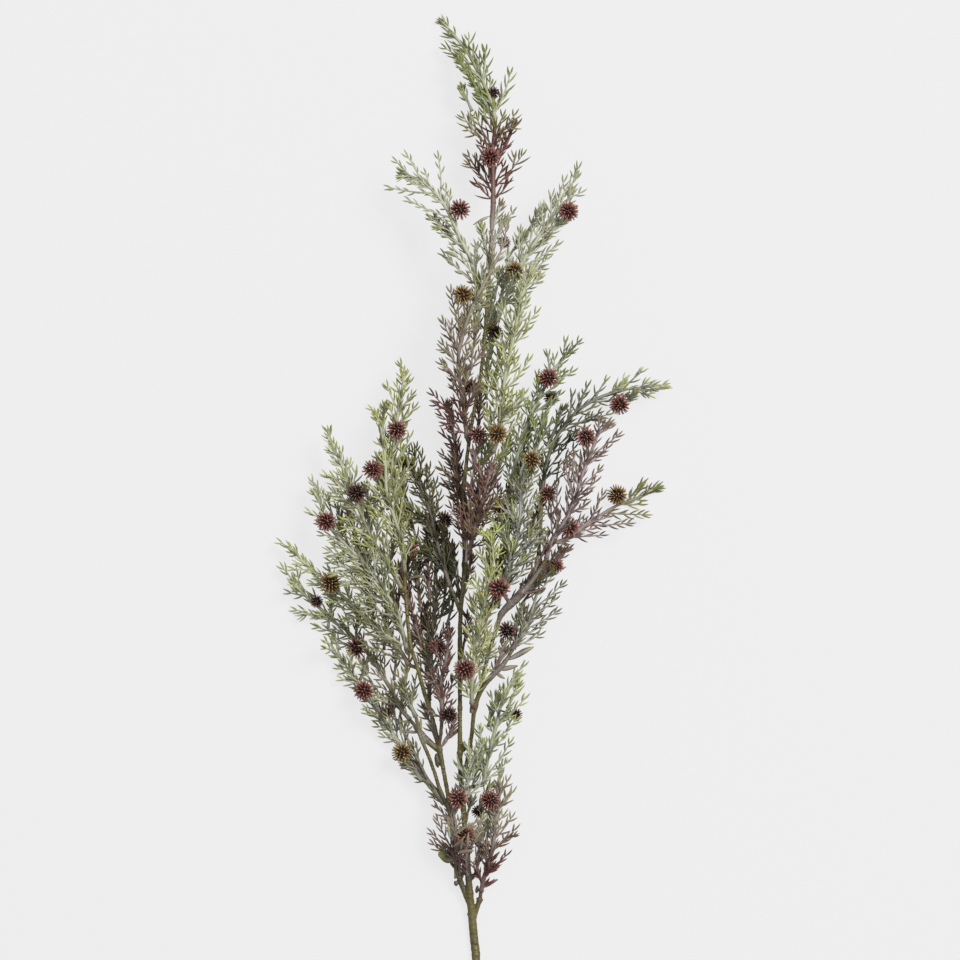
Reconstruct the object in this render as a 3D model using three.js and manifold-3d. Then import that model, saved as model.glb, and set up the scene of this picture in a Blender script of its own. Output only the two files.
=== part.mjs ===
// Juniper berry sprig laid flat on a table: one woody stem that forks, leafy shoots set on the
// ends of its forks, and spiky burr-like berries on short stalks.
// Millimetres. While it is built, x runs to the right, y from the cut end to the tip and z up,
// and the cut end's edge is at y = 0. The finished sprig stands on z = 0 with its box centred.

import * as THREE from "three";
import Module from "manifold-3d";

const wasm = await Module();
wasm.setup();

// Fits and the floor
const SEAT_GAP = 0.35;
const FLOOR_CLEARANCE = 1.2;
const NEEDLE_FLOOR_CLEARANCE = 0.4;

// Woody stem
const STEM_SIDES = 6;
const FORK_SIDES = 4;
const SPUR_LENGTH = 6;
const SPUR_RADIUS = 1.9;
const WOOD_TONE = 0x80753f;
const WOOD_ROUGHNESS = 0.7;

// Shoot cores, the twigs that carry the side twiglets
const CORE_ROOT_RADIUS = 2.6;
const CORE_TIP_RADIUS = 1.5;
const CORE_RING_SPACING = 18;
const CORE_TIP_NEEDLE = 11;
const LINE_STEPS = 6;

// Side twiglets
const BRANCH_ANGLE = THREE.MathUtils.degToRad(31);
const FIRST_BRANCH = 3;
const LONGEST_TWIGLET = 52;
const TWIGLET_ROOT_RADIUS = 1.2;
const TWIGLET_TIP_RADIUS = 0.75;
const TWIGLET_POINT_RADIUS = 0.2;
const TWIGLET_BOW = 0.1;
const TWIGLET_BOW_PLACE = 0.45;
const TWIGLET_TILT = 0.28;
const TWIGLET_STEPS = 6;
const TWIG_SIDES = 3;
const ROOT_SETBACK = 3.5;
const FILL_SPACING = 70;
const FILL_START = 28;
const FILL_END = 12;
const FILL_LENGTH = 27;
const FILL_SWING = 0.9;

// Needles
const WHORL_SPACING = 8.6;
const NEEDLE_LENGTH = 9.5;
const NEEDLE_LEAN = THREE.MathUtils.degToRad(31);
const NEEDLE_SEAT_SHARE = 0.4;
const NEEDLE_ROOT_RADIUS = 1.2;
const NEEDLE_POINT_RADIUS = 0.3;
const TERMINAL_NEEDLE = 8.5;
const SPREAD_LOW = 0.85;
const SPREAD_HIGH = 1.15;

// Berries
const BERRY_CORE_SHARE = 0.34;
const BERRY_SEAT_ROOM = 2.6;
const BERRY_LOWEST_RISE = 2;
const BERRY_SHORTEST_SPIKE = 0.9;
const STALK_ROOT_RADIUS = 2;
const STALK_END_RADIUS = 0.8;
const BERRY_ROUGHNESS = 0.6;

// Colours by the part of the plant that they are seen on
const SHOOT_TONES = {
  olive: 0x8f9a55,
  lime: 0xa3b05c,
  green: 0x7f8c4e,
  pale: 0x9aa67a,
  grey: 0x8c9678,
  dark: 0x4c5636,
  mauve: 0x86716a,
  plum: 0x6d4f4a,
};
const SHOOT_ROUGHNESS = 0.65;
const BERRY_TONES = { brown: 0x6b3a33, gold: 0x8a6a35, dark: 0x3f2724 };

// Gaps kept between a new piece and what is already there, by what that is
const TWIGLET_GAPS = { berry: 0.6, core: 1.6, twiglet: 3.6, own: 2.2, widest: 3.6 };
const NEEDLE_GAPS = { berry: 0.4, core: 0.4, twiglet: 0.4, needle: 0.4, own: 0.2, widest: 0.5 };

// Upward and downward shifts of a twiglet's tip that are tried in turn, as shares of its length
const TRIED_LIFTS = [0, 0.3, -0.3, 0.6, -0.6];

// Seeds, one for each use of chance
const SHOOT_SEED = 4021;
const NEEDLE_SEED = 12063;
const BERRY_SEED = 20105;

// Points set by hand. A wood path's rows are [x, y, height, radius] from the root to the end,
// a shoot's path rows [x, y, height], and a tip is where a side twiglet ends, as [x, y].
const STEM_FORKS = [
  {
    name: "main",
    path: [[-5, 0, 3.4, 4], [-4, 22, 3.3, 3.9], [-6, 42, 4.4, 3.7], [-8, 65, 7, 3.6],
      [-10, 85, 11, 3.1], [-12, 110, 16, 2.9], [-13, 132, 19, 2.9], [-15, 150, 22, 2.7],
      [-17, 175, 26, 2.6], [-19, 200, 30, 2.4], [-20, 228, 34, 2.6], [-20, 260, 38, 2.2],
      [-20, 300, 42, 2.2], [-20, 340, 45, 2.3], [-19, 371, 47, 2.2], [-16, 405, 49, 2.4],
      [-15, 424, 50, 2.6], [-16, 450, 51, 2.1], [-16, 490, 52, 2], [-12, 530, 53, 1.9],
      [-6, 568, 54, 1.9], [0, 600, 55, 1.9], [3, 625, 55, 1.8], [6, 660, 55, 1.8], [9, 700, 54, 1.7],
      [10, 730, 54, 1.7], [13, 762, 53, 1.7]],
  },
  {
    name: "side_fork",
    path: [[-7, 58, 6, 2.6], [-3, 72, 9, 2.3], [0, 82, 12, 2.6]],
  },
  {
    name: "left_fork",
    path: [[-10, 75, 9, 2.6], [-16, 90, 10, 2.6], [-21, 104, 12, 2.5], [-24, 118, 14, 2.3],
      [-26, 138, 17, 2.2], [-29, 160, 20, 2.2], [-32, 185, 24, 2.2], [-36, 208, 28, 2.1],
      [-40, 230, 31, 2.5], [-45, 253, 35, 2.1], [-50, 271, 38, 2.1], [-56, 290, 41, 2.2],
      [-62, 312, 43, 2.1], [-69, 335, 45, 2], [-72, 360, 45, 1.9], [-74, 384, 45, 1.8],
      [-75, 399, 47, 1.8]],
  },
  {
    name: "lower_left_fork",
    path: [[-30, 165, 21, 1.9], [-36, 182, 19, 1.9], [-46, 193, 17, 1.9], [-55, 204, 16, 1.8],
      [-62, 215, 15, 1.8]],
  },
  {
    name: "inner_fork",
    path: [[-34, 177, 20, 1.8], [-41, 194, 22, 2], [-46, 210, 26, 1.9], [-53, 229, 31, 1.9],
      [-59, 243, 35, 2.1], [-62, 256, 38, 1.8]],
  },
  {
    name: "grey_left_fork",
    path: [[-40, 229, 31, 2.2], [-50, 238, 30, 2.3], [-58, 246, 29, 2.3], [-65, 255, 28, 2.2]],
  },
  {
    name: "plum_fork",
    path: [[-41, 235, 32, 1.9], [-39, 247, 40, 1.9]],
  },
  {
    name: "dark_fork",
    path: [[-46, 258, 36, 1.8], [-50, 270, 34, 1.8]],
  },
  {
    name: "right_fork",
    path: [[-19, 200, 30, 2], [-14, 215, 33, 2], [-11, 230, 36, 2.1], [-8, 248, 40, 2.1],
      [-6, 268, 45, 2.2], [-2, 284, 49, 2.3], [5, 297, 51, 2.3], [13, 306, 53, 2.2],
      [21, 314, 54, 2.1], [27, 322, 55, 2]],
  },
  {
    name: "far_right_fork",
    path: [[-2, 284, 49, 2], [3, 305, 50, 2], [9, 328, 51, 2], [15, 348, 52, 2.1], [21, 366, 53, 2.4],
      [30, 376, 54, 2.5], [41, 387, 55, 2.4], [52, 400, 56, 2.3], [60, 412, 58, 2.1]],
  },
  {
    name: "dark_right_fork",
    path: [[52, 400, 56, 1.9], [57, 420, 52, 1.8], [60, 445, 46, 1.8], [61, 467, 41, 1.7]],
  },
  {
    name: "dark_left_fork",
    path: [[-19, 366, 47, 2], [-24, 381, 44, 2]],
  },
  {
    name: "collar_fork",
    path: [[-16, 405, 49, 1.9], [-14, 418, 57, 1.9]],
  },
  {
    name: "upper_fork",
    path: [[-16, 460, 51, 1.8], [0, 464, 56, 1.6], [16, 460, 59, 1.6]],
  },
  {
    name: "front_fork",
    path: [[-12, 510, 52, 1.7], [0, 516, 60, 1.7]],
  },
];
const SHOOTS = [
  {
    name: "leader_shoot",
    tone: "olive",
    axes: [
      {
        path: [[13.5, 775, 52], [13, 802, 50], [13, 830, 47], [15, 860, 41], [8, 885, 33],
          [-1, 905, 23], [-10, 923, 13], [-19, 936, 6], [-30, 950, 1.6], [-41, 962, 0]],
        tips: [[-14, 830], [46, 830], [-20, 868], [38, 870], [-25, 920], [32, 913], [6, 936],
          [-12, 948], [-40, 936], [-33, 961], [-8, 802], [32, 802]],
      },
    ],
  },
  {
    name: "upper_left_shoot",
    tone: "olive",
    axes: [
      {
        path: [[1, 677, 60], [-4, 697, 64], [-9, 718, 66], [-17, 735, 67], [-25, 752, 66],
          [-37, 776, 62], [-54, 795, 56], [-68, 802, 50], [-84, 807, 46]],
        tips: [[-54, 765], [-76, 782], [-43, 828], [-88, 822], [-76, 828], [-96, 793], [-30, 790],
          [-40, 730]],
      },
    ],
  },
  {
    name: "upper_right_shoot",
    tone: "olive",
    axes: [
      {
        path: [[17, 657, 58], [25, 680, 60], [32, 696, 60], [39, 712, 60], [48, 726, 59],
          [57, 740, 58], [73, 765, 56], [88, 780, 52], [93, 794, 48]],
        tips: [[40, 755], [63, 780], [73, 790], [86, 804], [82, 738], [72, 725], [106, 790], [28, 730],
          [65, 705]],
      },
    ],
  },
  {
    name: "crossing_shoot",
    tone: "plum",
    axes: [
      {
        path: [[-13, 542, 64], [-17, 578, 71], [-21, 605, 75], [-21, 628, 77], [-16, 648, 78],
          [-7, 674, 79], [4, 695, 78], [13, 712, 76], [21, 728, 74], [26, 740, 71]],
        tips: [[-51, 591], [-42, 622], [-40, 642], [-39, 665], [5, 640], [-30, 695], [28, 758],
          [32, 740], [12, 750], [2, 605], [-44, 570]],
      },
    ],
  },
  {
    name: "middle_front_shoot",
    tone: "lime",
    axes: [
      {
        path: [[13, 528, 68], [17, 540, 72], [22, 578, 77], [26, 610, 80], [32, 635, 81],
          [37, 660, 81], [41, 680, 80], [47, 698, 78], [53, 710, 76]],
        tips: [[60, 672], [53, 655], [52, 625], [41, 608], [48, 592], [18, 650], [20, 680], [65, 708],
          [42, 718], [4, 608], [6, 578], [44, 568]],
      },
    ],
  },
  {
    name: "inner_plum_shoot",
    tone: "plum",
    axes: [
      {
        path: [[-12, 428, 60], [-8, 440, 63], [-4, 456, 65], [1, 475, 66], [8, 500, 67], [13, 518, 67]],
        tips: [[32, 498], [25, 480], [-18, 480], [-10, 502], [-2, 518], [17, 452], [-25, 460]],
      },
      {
        path: [[-9, 435, 62], [-7, 447, 54], [-8, 459, 45], [-15, 473, 37], [-21, 494, 31],
          [-23, 520, 28], [-26, 544, 28], [-30, 565, 29], [-34, 580, 30]],
        tips: [[-40, 552], [-40, 532], [-42, 518], [-40, 502], [-16, 550], [-10, 525], [-32, 480]],
      },
    ],
  },
  {
    name: "right_upper_shoot",
    tone: "green",
    axes: [
      {
        path: [[25, 468, 60], [28, 485, 59], [35, 515, 57], [44, 548, 56], [54, 573, 55],
          [65, 594, 53], [74, 610, 50], [83, 621, 47], [94, 632, 45]],
        tips: [[58, 612], [43, 592], [69, 632], [87, 644], [97, 612], [85, 590], [32, 555], [61, 560],
          [24, 525]],
      },
      {
        path: [[29, 488, 60], [40, 496, 62], [50, 510, 63], [56, 530, 63], [61, 553, 63], [66, 570, 62]],
        tips: [[40, 540], [50, 568], [76, 562], [73, 540], [76, 580]],
      },
    ],
  },
  {
    name: "right_dark_shoot",
    tone: "dark",
    axes: [
      {
        path: [[61, 478, 38], [65, 510, 34], [72, 534, 31], [83, 553, 29], [96, 568, 27],
          [111, 578, 26], [126, 585, 25], [142, 590, 24], [162, 592, 22], [181, 595, 20]],
        tips: [[130, 605], [149, 606], [167, 612], [176, 582], [172, 576], [134, 568], [110, 556],
          [98, 538], [92, 522], [80, 500], [55, 540], [65, 562], [95, 592], [110, 600]],
      },
    ],
  },
  {
    name: "right_mauve_shoot",
    tone: "mauve",
    axes: [
      {
        path: [[66, 422, 60], [71, 439, 63], [80, 453, 65], [89, 467, 66], [96, 486, 66],
          [100, 501, 65], [107, 518, 63], [113, 534, 61], [120, 549, 58], [134, 560, 55]],
        tips: [[123, 516], [120, 504], [112, 492], [132, 537], [142, 550], [72, 482], [78, 502],
          [85, 520], [92, 532], [102, 548], [120, 568], [60, 455], [110, 480]],
      },
      {
        path: [[71, 439, 60], [82, 439, 50], [96, 448, 38], [110, 459, 25], [124, 467, 12],
          [138, 475, 3.6], [154, 481, 1.5], [170, 487, 1.4], [181, 493, 1.4]],
        tips: [[126, 492], [154, 502], [167, 502], [172, 466], [156, 458], [132, 458], [128, 446],
          [104, 474], [118, 444]],
      },
    ],
  },
  {
    name: "middle_grey_shoot",
    tone: "grey",
    axes: [
      {
        path: [[23, 388, 64], [26, 407, 69], [32, 424, 73], [37, 445, 76], [40, 468, 78],
          [40, 490, 79], [40, 506, 79]],
        tips: [[22, 490], [24, 510], [58, 512], [61, 492], [65, 468], [60, 440], [20, 472], [44, 525],
          [52, 420], [68, 452]],
      },
      {
        path: [[30, 418, 71], [26, 435, 68], [22, 452, 66], [18, 466, 65]],
        tips: [[10, 480], [28, 475]],
      },
    ],
  },
  {
    name: "lime_front_shoot",
    tone: "lime",
    axes: [
      {
        path: [[-8, 277, 55], [-8, 295, 61], [-6, 322, 68], [-2, 344, 73], [2, 366, 77], [6, 384, 80],
          [10, 406, 83], [13, 432, 85], [11, 450, 85]],
        tips: [[-20, 332], [-14, 358], [16, 340], [20, 358], [-12, 388], [-6, 410], [-2, 435],
          [26, 414], [23, 435], [0, 455], [20, 459], [-26, 310], [10, 315], [18, 380]],
      },
    ],
  },
  {
    name: "right_low_shoot",
    tone: "grey",
    axes: [
      {
        path: [[33, 332, 55], [39, 342, 55], [46, 355, 54], [52, 370, 52], [56, 383, 50], [63, 394, 47]],
        tips: [[81, 373], [65, 350], [60, 338], [80, 386], [86, 401], [35, 368], [42, 380], [76, 410]],
      },
    ],
  },
  {
    name: "left_tall_shoot",
    tone: "lime",
    axes: [
      {
        path: [[-75, 409, 50], [-76, 422, 54], [-79, 442, 57], [-87, 468, 59], [-93, 489, 59],
          [-94, 512, 58], [-96, 537, 57], [-100, 558, 55], [-105, 571, 53]],
        tips: [[-111, 573], [-102, 580], [-106, 528], [-104, 542], [-114, 500], [-113, 480],
          [-75, 493], [-80, 514], [-65, 445], [-96, 456], [-70, 468]],
      },
      {
        path: [[-77, 428, 52], [-79, 448, 47], [-83, 480, 44], [-87, 508, 44], [-87, 530, 45],
          [-84, 550, 46], [-81, 572, 45], [-77, 594, 43], [-75, 612, 41]],
        tips: [[-94, 600], [-81, 622], [-68, 618], [-66, 603], [-64, 590], [-62, 578], [-81, 609],
          [-92, 578], [-67, 550], [-68, 525]],
      },
    ],
  },
  {
    name: "left_outer_upper_shoot",
    tone: "lime",
    axes: [
      {
        path: [[-78, 392, 49], [-85, 405, 49], [-95, 420, 48], [-104, 435, 47], [-113, 454, 45],
          [-122, 474, 43], [-130, 495, 41], [-137, 513, 39], [-144, 529, 37], [-149, 542, 35]],
        tips: [[-158, 510], [-156, 534], [-157, 547], [-149, 551], [-137, 535], [-129, 524],
          [-123, 516], [-152, 493], [-142, 464], [-130, 445], [-102, 472], [-94, 452]],
      },
    ],
  },
  {
    name: "left_outer_middle_shoot",
    tone: "olive",
    axes: [
      {
        path: [[-73, 332, 56], [-77, 348, 61], [-82, 368, 63], [-93, 386, 61], [-105, 403, 57],
          [-117, 418, 52], [-132, 434, 46], [-145, 447, 42], [-154, 462, 38], [-160, 479, 35],
          [-164, 493, 33]],
        tips: [[-175, 472], [-171, 492], [-169, 506], [-158, 490], [-166, 460], [-163, 448],
          [-157, 432], [-156, 422], [-143, 408], [-114, 362], [-128, 382], [-108, 440], [-96, 424],
          [-92, 405], [-130, 398]],
      },
    ],
  },
  {
    name: "inner_left_dark_shoot",
    tone: "dark",
    axes: [
      {
        path: [[-30, 394, 40], [-36, 413, 35], [-42, 434, 31], [-46, 452, 29], [-52, 475, 27],
          [-58, 491, 26], [-65, 506, 25], [-71, 520, 24]],
        tips: [[-76, 480], [-67, 472], [-75, 453], [-77, 536], [-63, 540], [-58, 533], [-50, 519],
          [-43, 504], [-39, 492], [-84, 492], [-28, 440], [-62, 435]],
      },
    ],
  },
  {
    name: "left_outer_lower_shoot",
    tone: "lime",
    axes: [
      {
        path: [[-71, 316, 36], [-80, 330, 32], [-95, 345, 29], [-112, 360, 27], [-128, 375, 26],
          [-140, 387, 25], [-151, 398, 24], [-160, 405, 23], [-172, 414, 22], [-182, 424, 20],
          [-192, 432, 18]],
        tips: [[-204, 442], [-200, 432], [-194, 413], [-174, 400], [-194, 440], [-185, 436],
          [-174, 427], [-155, 382], [-142, 362], [-122, 340], [-135, 400], [-120, 390], [-154, 418],
          [-100, 368]],
      },
    ],
  },
  {
    name: "left_floor_shoot",
    tone: "olive",
    axes: [
      {
        path: [[-70, 261, 27], [-80, 273, 22], [-87, 288, 16], [-94, 299, 11], [-103, 314, 6],
          [-113, 329, 1.7], [-124, 340, 1.3], [-134, 350, 1.9], [-147, 359, 5], [-159, 371, 8],
          [-171, 381, 10], [-182, 393, 12], [-191, 405, 14]],
        tips: [[-197, 390], [-191, 373], [-170, 356], [-201, 418], [-177, 400], [-168, 392],
          [-154, 338], [-108, 290], [-104, 340], [-96, 325], [-136, 368], [-184, 412]],
      },
    ],
  },
  {
    name: "left_bottom_shoot",
    tone: "olive",
    axes: [
      {
        path: [[-71, 226, 15], [-77, 233, 14], [-84, 242, 13], [-92, 254, 13], [-99, 267, 13],
          [-106, 278, 13], [-115, 289, 13], [-124, 299, 12], [-132, 311, 11], [-139, 324, 10]],
        tips: [[-102, 247], [-108, 258], [-118, 272], [-129, 280], [-144, 304], [-147, 316],
          [-151, 329], [-157, 345], [-80, 265], [-88, 238], [-130, 332], [-98, 290]],
      },
    ],
  },
  {
    name: "inner_left_plum_shoot",
    tone: "plum",
    axes: [
      {
        path: [[-38, 260, 47], [-38, 275, 51], [-39, 292, 52], [-37, 309, 51], [-33, 326, 49],
          [-31, 342, 46], [-30, 355, 43]],
        tips: [[-56, 275], [-52, 258], [-24, 282], [-24, 308], [-25, 328], [-26, 348], [-50, 312],
          [-46, 340]],
      },
    ],
  },
  {
    name: "inner_back_dark_shoot",
    tone: "dark",
    axes: [
      {
        path: [[-51, 280, 32], [-50, 298, 28], [-49, 320, 25], [-48, 342, 24], [-46, 366, 23],
          [-43, 388, 23], [-43, 404, 23]],
        tips: [[-64, 325], [-66, 355], [-60, 380], [-55, 405], [-32, 358], [-30, 380], [-33, 405],
          [-44, 424], [-35, 330]],
      },
    ],
  },
  {
    name: "left_small_shoot",
    tone: "green",
    axes: [
      {
        path: [[-64, 264, 40], [-69, 275, 43], [-75, 289, 45], [-79, 302, 45]],
        tips: [[-84, 312], [-76, 316], [-67, 296], [-64, 308], [-88, 300]],
      },
    ],
  },
  {
    name: "right_bottom_shoot",
    tone: "green",
    axes: [
      {
        path: [[4, 197, 45], [5, 210, 47], [8, 224, 48], [12, 240, 49], [17, 258, 49], [20, 273, 48],
          [25, 287, 45], [31, 299, 42], [38, 311, 39]],
        tips: [[49, 320], [49, 288], [40, 266], [9, 292], [8, 268], [33, 245], [34, 280], [46, 308],
          [23, 298], [-2, 256], [31, 223], [-10, 238]],
      },
    ],
  },
  {
    name: "pale_small_shoot",
    tone: "pale",
    axes: [
      {
        path: [[-15, 180, 38], [-13, 194, 43], [-11, 209, 47], [-6, 221, 50], [0, 232, 52],
          [2, 244, 52]],
        tips: [[-24, 224], [-23, 208], [-12, 242], [0, 258], [10, 212], [8, 198]],
      },
    ],
  },
  {
    name: "bottom_right_shoot",
    tone: "plum",
    axes: [
      {
        path: [[1, 89, 15], [4, 103, 21], [9, 119, 27], [13, 134, 31], [15, 154, 33], [18, 170, 33],
          [19, 188, 31], [19, 203, 29], [22, 215, 27]],
        tips: [[39, 157], [31, 131], [14, 102], [35, 170], [36, 195], [31, 207], [26, 220], [-3, 113],
          [-6, 124], [2, 144], [20, 123], [4, 185]],
      },
    ],
  },
  {
    name: "bottom_left_shoot",
    tone: "plum",
    axes: [
      {
        path: [[-23, 118, 19], [-27, 127, 22], [-33, 133, 23], [-41, 139, 22]],
        tips: [[-53, 152], [-52, 142], [-46, 134], [-34, 114]],
      },
      {
        path: [[-25, 123, 21], [-24, 138, 28], [-26, 152, 31], [-32, 165, 30]],
        tips: [[-47, 180], [-45, 168], [-39, 159], [-18, 168]],
      },
      {
        path: [[-25, 128, 24], [-20, 138, 31], [-15, 149, 35], [-7, 158, 37]],
        tips: [[8, 168], [-2, 142], [6, 156], [-6, 130]],
      },
    ],
  },
];
const BERRIES = [
  { at: [10, 821], radius: 11, shoot: "leader_shoot", side: 1, tone: "brown" },
  { at: [-20, 769], radius: 11, shoot: "upper_left_shoot", side: 1, tone: "brown" },
  { at: [88, 767], radius: 11, shoot: "upper_right_shoot", side: 1, tone: "brown" },
  { at: [34, 708], radius: 10, shoot: "upper_right_shoot", side: 1, tone: "gold" },
  { at: [-17, 684], radius: 11, shoot: "crossing_shoot", side: 1, tone: "gold" },
  { at: [-9, 592], radius: 9, shoot: "crossing_shoot", side: -1, tone: "dark" },
  { at: [-2, 545], radius: 10, shoot: "crossing_shoot", side: 1, tone: "brown" },
  { at: [17, 546], radius: 11, shoot: "middle_front_shoot", side: 1, tone: "gold" },
  { at: [68, 601], radius: 11, shoot: "right_upper_shoot", side: 1, tone: "brown" },
  { at: [51, 520], radius: 11, shoot: "right_upper_shoot", side: 1, tone: "gold" },
  { at: [139, 575], radius: 11, shoot: "right_dark_shoot", side: 1, tone: "brown" },
  { at: [68, 486], radius: 9, shoot: "right_dark_shoot", side: 1, tone: "brown" },
  { at: [105, 543], radius: 11, shoot: "right_mauve_shoot", side: 1, tone: "brown" },
  { at: [89, 453], radius: 11, shoot: "right_mauve_shoot", side: -1, tone: "brown" },
  { at: [137, 485], radius: 11, shoot: "right_mauve_shoot", side: 1, tone: "gold" },
  { at: [20, 472], radius: 10, shoot: "middle_grey_shoot", side: 1, tone: "brown" },
  { at: [19, 392], radius: 12, shoot: "lime_front_shoot", side: 1, tone: "brown" },
  { at: [-15, 312], radius: 12, shoot: "lime_front_shoot", side: 1, tone: "brown" },
  { at: [27, 350], radius: 10, shoot: "right_low_shoot", side: 1, tone: "dark" },
  { at: [-83, 550], radius: 11, shoot: "left_tall_shoot", side: 1, tone: "brown" },
  { at: [-107, 510], radius: 11, shoot: "left_tall_shoot", side: 1, tone: "brown" },
  { at: [-123, 487], radius: 11, shoot: "left_outer_upper_shoot", side: 1, tone: "dark" },
  { at: [-153, 459], radius: 11, shoot: "left_outer_middle_shoot", side: 1, tone: "brown" },
  { at: [-35, 460], radius: 9, shoot: "inner_left_dark_shoot", side: 1, tone: "dark" },
  { at: [-149, 397], radius: 12, shoot: "left_outer_lower_shoot", side: 1, tone: "gold" },
  { at: [-123, 332], radius: 12, shoot: "left_floor_shoot", side: 1, tone: "brown" },
  { at: [-116, 290], radius: 11, shoot: "left_bottom_shoot", side: 1, tone: "brown" },
  { at: [-78, 228], radius: 11, shoot: "left_bottom_shoot", side: 1, tone: "gold" },
  { at: [-31, 266], radius: 10, shoot: "inner_left_plum_shoot", side: 1, tone: "dark" },
  { at: [-43, 333], radius: 10, shoot: "inner_back_dark_shoot", side: 1, tone: "brown" },
  { at: [-22, 183], radius: 11, shoot: "pale_small_shoot", side: 1, tone: "brown" },
  { at: [10, 181], radius: 11, shoot: "bottom_right_shoot", side: 1, tone: "brown" },
  { at: [-15, 146], radius: 11, shoot: "bottom_left_shoot", side: 1, tone: "brown" },
];

// Random numbers that come out the same every time
const RANDOM_MODULUS = 2147483647;
const RANDOM_FACTOR = 16807;
const SEED_FACTOR = 7919;
const SEED_OFFSET = 104729;

function randomStream(seed) {
  let state = (seed * SEED_FACTOR + SEED_OFFSET) % RANDOM_MODULUS;
  return () => {
    state = (state * RANDOM_FACTOR) % RANDOM_MODULUS;
    return state / RANDOM_MODULUS;
  };
}

function spread(draw) {
  return THREE.MathUtils.lerp(SPREAD_LOW, SPREAD_HIGH, draw());
}

// A smooth line through hand-set points, with its running length
function measured(points) {
  const lengths = [0];
  for (let i = 1; i < points.length; i += 1) {
    lengths.push(lengths[i - 1] + points[i].distanceTo(points[i - 1]));
  }
  return { points, lengths, total: lengths[lengths.length - 1] };
}

function lineThrough(path) {
  const knots = path.map(([x, y, z]) => new THREE.Vector3(x, y, z));
  const curve = new THREE.CatmullRomCurve3(knots, false, "catmullrom", 0.5);
  return measured(curve.getPoints(LINE_STEPS * (knots.length - 1)));
}

function pointAt(line, distance) {
  const s = THREE.MathUtils.clamp(distance, 0, line.total);
  let i = 1;
  while (i < line.points.length - 1 && line.lengths[i] < s) {
    i += 1;
  }
  const span = line.lengths[i] - line.lengths[i - 1];
  const share = (s - line.lengths[i - 1]) / span;
  return line.points[i - 1].clone().lerp(line.points[i], share);
}

function directionAt(line, distance) {
  return pointAt(line, distance + 1).sub(pointAt(line, distance - 1)).normalize();
}

// Distance between two straight pieces, with how far along each the nearest points lie
function nearestOnPieces(a, b, c, d) {
  const tiny = 1e-9;
  const first = b.clone().sub(a);
  const second = d.clone().sub(c);
  const between = a.clone().sub(c);
  const firstSquared = Math.max(first.lengthSq(), tiny);
  const secondSquared = Math.max(second.lengthSq(), tiny);
  const across = first.dot(second);
  const firstDot = first.dot(between);
  const secondDot = second.dot(between);
  const crossing = firstSquared * secondSquared - across * across;
  let s = 0;
  if (crossing > tiny) {
    s = THREE.MathUtils.clamp((across * secondDot - firstDot * secondSquared) / crossing, 0, 1);
  }
  let t = (across * s + secondDot) / secondSquared;
  if (t < 0) {
    t = 0;
    s = THREE.MathUtils.clamp(-firstDot / firstSquared, 0, 1);
  } else if (t > 1) {
    t = 1;
    s = THREE.MathUtils.clamp((across - firstDot) / firstSquared, 0, 1);
  }
  const distance = a.clone().addScaledVector(first, s)
    .distanceTo(c.clone().addScaledVector(second, t));
  return { distance, s, t };
}

// Everything already placed, as tapered round pieces, so that what comes later keeps clear
const placed = [];

function place(owner, kind, twiglet, a, b, radiusA, radiusB) {
  const middle = a.clone().lerp(b, 0.5);
  const reach = a.distanceTo(b) / 2 + Math.max(radiusA, radiusB);
  placed.push({ owner, kind, twiglet, a, b, radiusA, radiusB, middle, reach });
}

function hasRoom(owner, twiglet, a, b, radiusA, radiusB, gaps) {
  const middle = a.clone().lerp(b, 0.5);
  const reach = a.distanceTo(b) / 2 + Math.max(radiusA, radiusB) + gaps.widest;
  for (const other of placed) {
    if (middle.distanceTo(other.middle) > reach + other.reach) {
      continue;
    }
    const own = other.owner === owner;
    if (own && (other.kind === "core" || other.twiglet === twiglet)) {
      continue;
    }
    const { distance, s, t } = nearestOnPieces(a, b, other.a, other.b);
    const room = THREE.MathUtils.lerp(radiusA, radiusB, s)
      + THREE.MathUtils.lerp(other.radiusA, other.radiusB, t);
    const gap = own ? gaps.own : gaps[other.kind];
    if (distance < room + gap) {
      return false;
    }
  }
  return true;
}

// Frames that follow a line without twisting: a centre, a direction and two cross directions
function framesAlong(centres, endDirection) {
  const up = new THREE.Vector3(0, 0, 1);
  const right = new THREE.Vector3(1, 0, 0);
  const steepest = 0.9;
  const frames = [];
  let cross = null;
  centres.forEach((centre, i) => {
    const before = centres[Math.max(i - 1, 0)];
    const after = centres[Math.min(i + 1, centres.length - 1)];
    const last = i === centres.length - 1;
    const forward = last && endDirection ? endDirection : after.clone().sub(before).normalize();
    if (cross === null) {
      cross = Math.abs(forward.z) > steepest ? right : up;
    }
    cross = cross.clone().addScaledVector(forward, -cross.dot(forward)).normalize();
    frames.push({ centre, forward, cross, third: forward.clone().cross(cross) });
  });
  return frames;
}

function aroundFrame(frame, angle) {
  return frame.cross.clone().multiplyScalar(Math.cos(angle))
    .addScaledVector(frame.third, Math.sin(angle));
}

function ringPoint(frame, radius, angle) {
  return frame.centre.clone().addScaledVector(aroundFrame(frame, angle), radius);
}

// A closed solid from its corners and its triangles
function solidFrom(corners, triangles) {
  const vertProperties = new Float32Array(corners.length * 3);
  corners.forEach((corner, i) => corner.toArray(vertProperties, i * 3));
  const triVerts = new Uint32Array(triangles.flat());
  return new wasm.Manifold(new wasm.Mesh({ numProp: 3, vertProperties, triVerts }));
}

function joined(solids) {
  return solids.reduce((whole, solid) => whole.add(solid));
}

function flatEnd(triangles, start, sides, facesForward) {
  for (let k = 1; k < sides - 1; k += 1) {
    triangles.push(facesForward ? [start, start + k, start + k + 1]
      : [start, start + k + 1, start + k]);
  }
}

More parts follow.
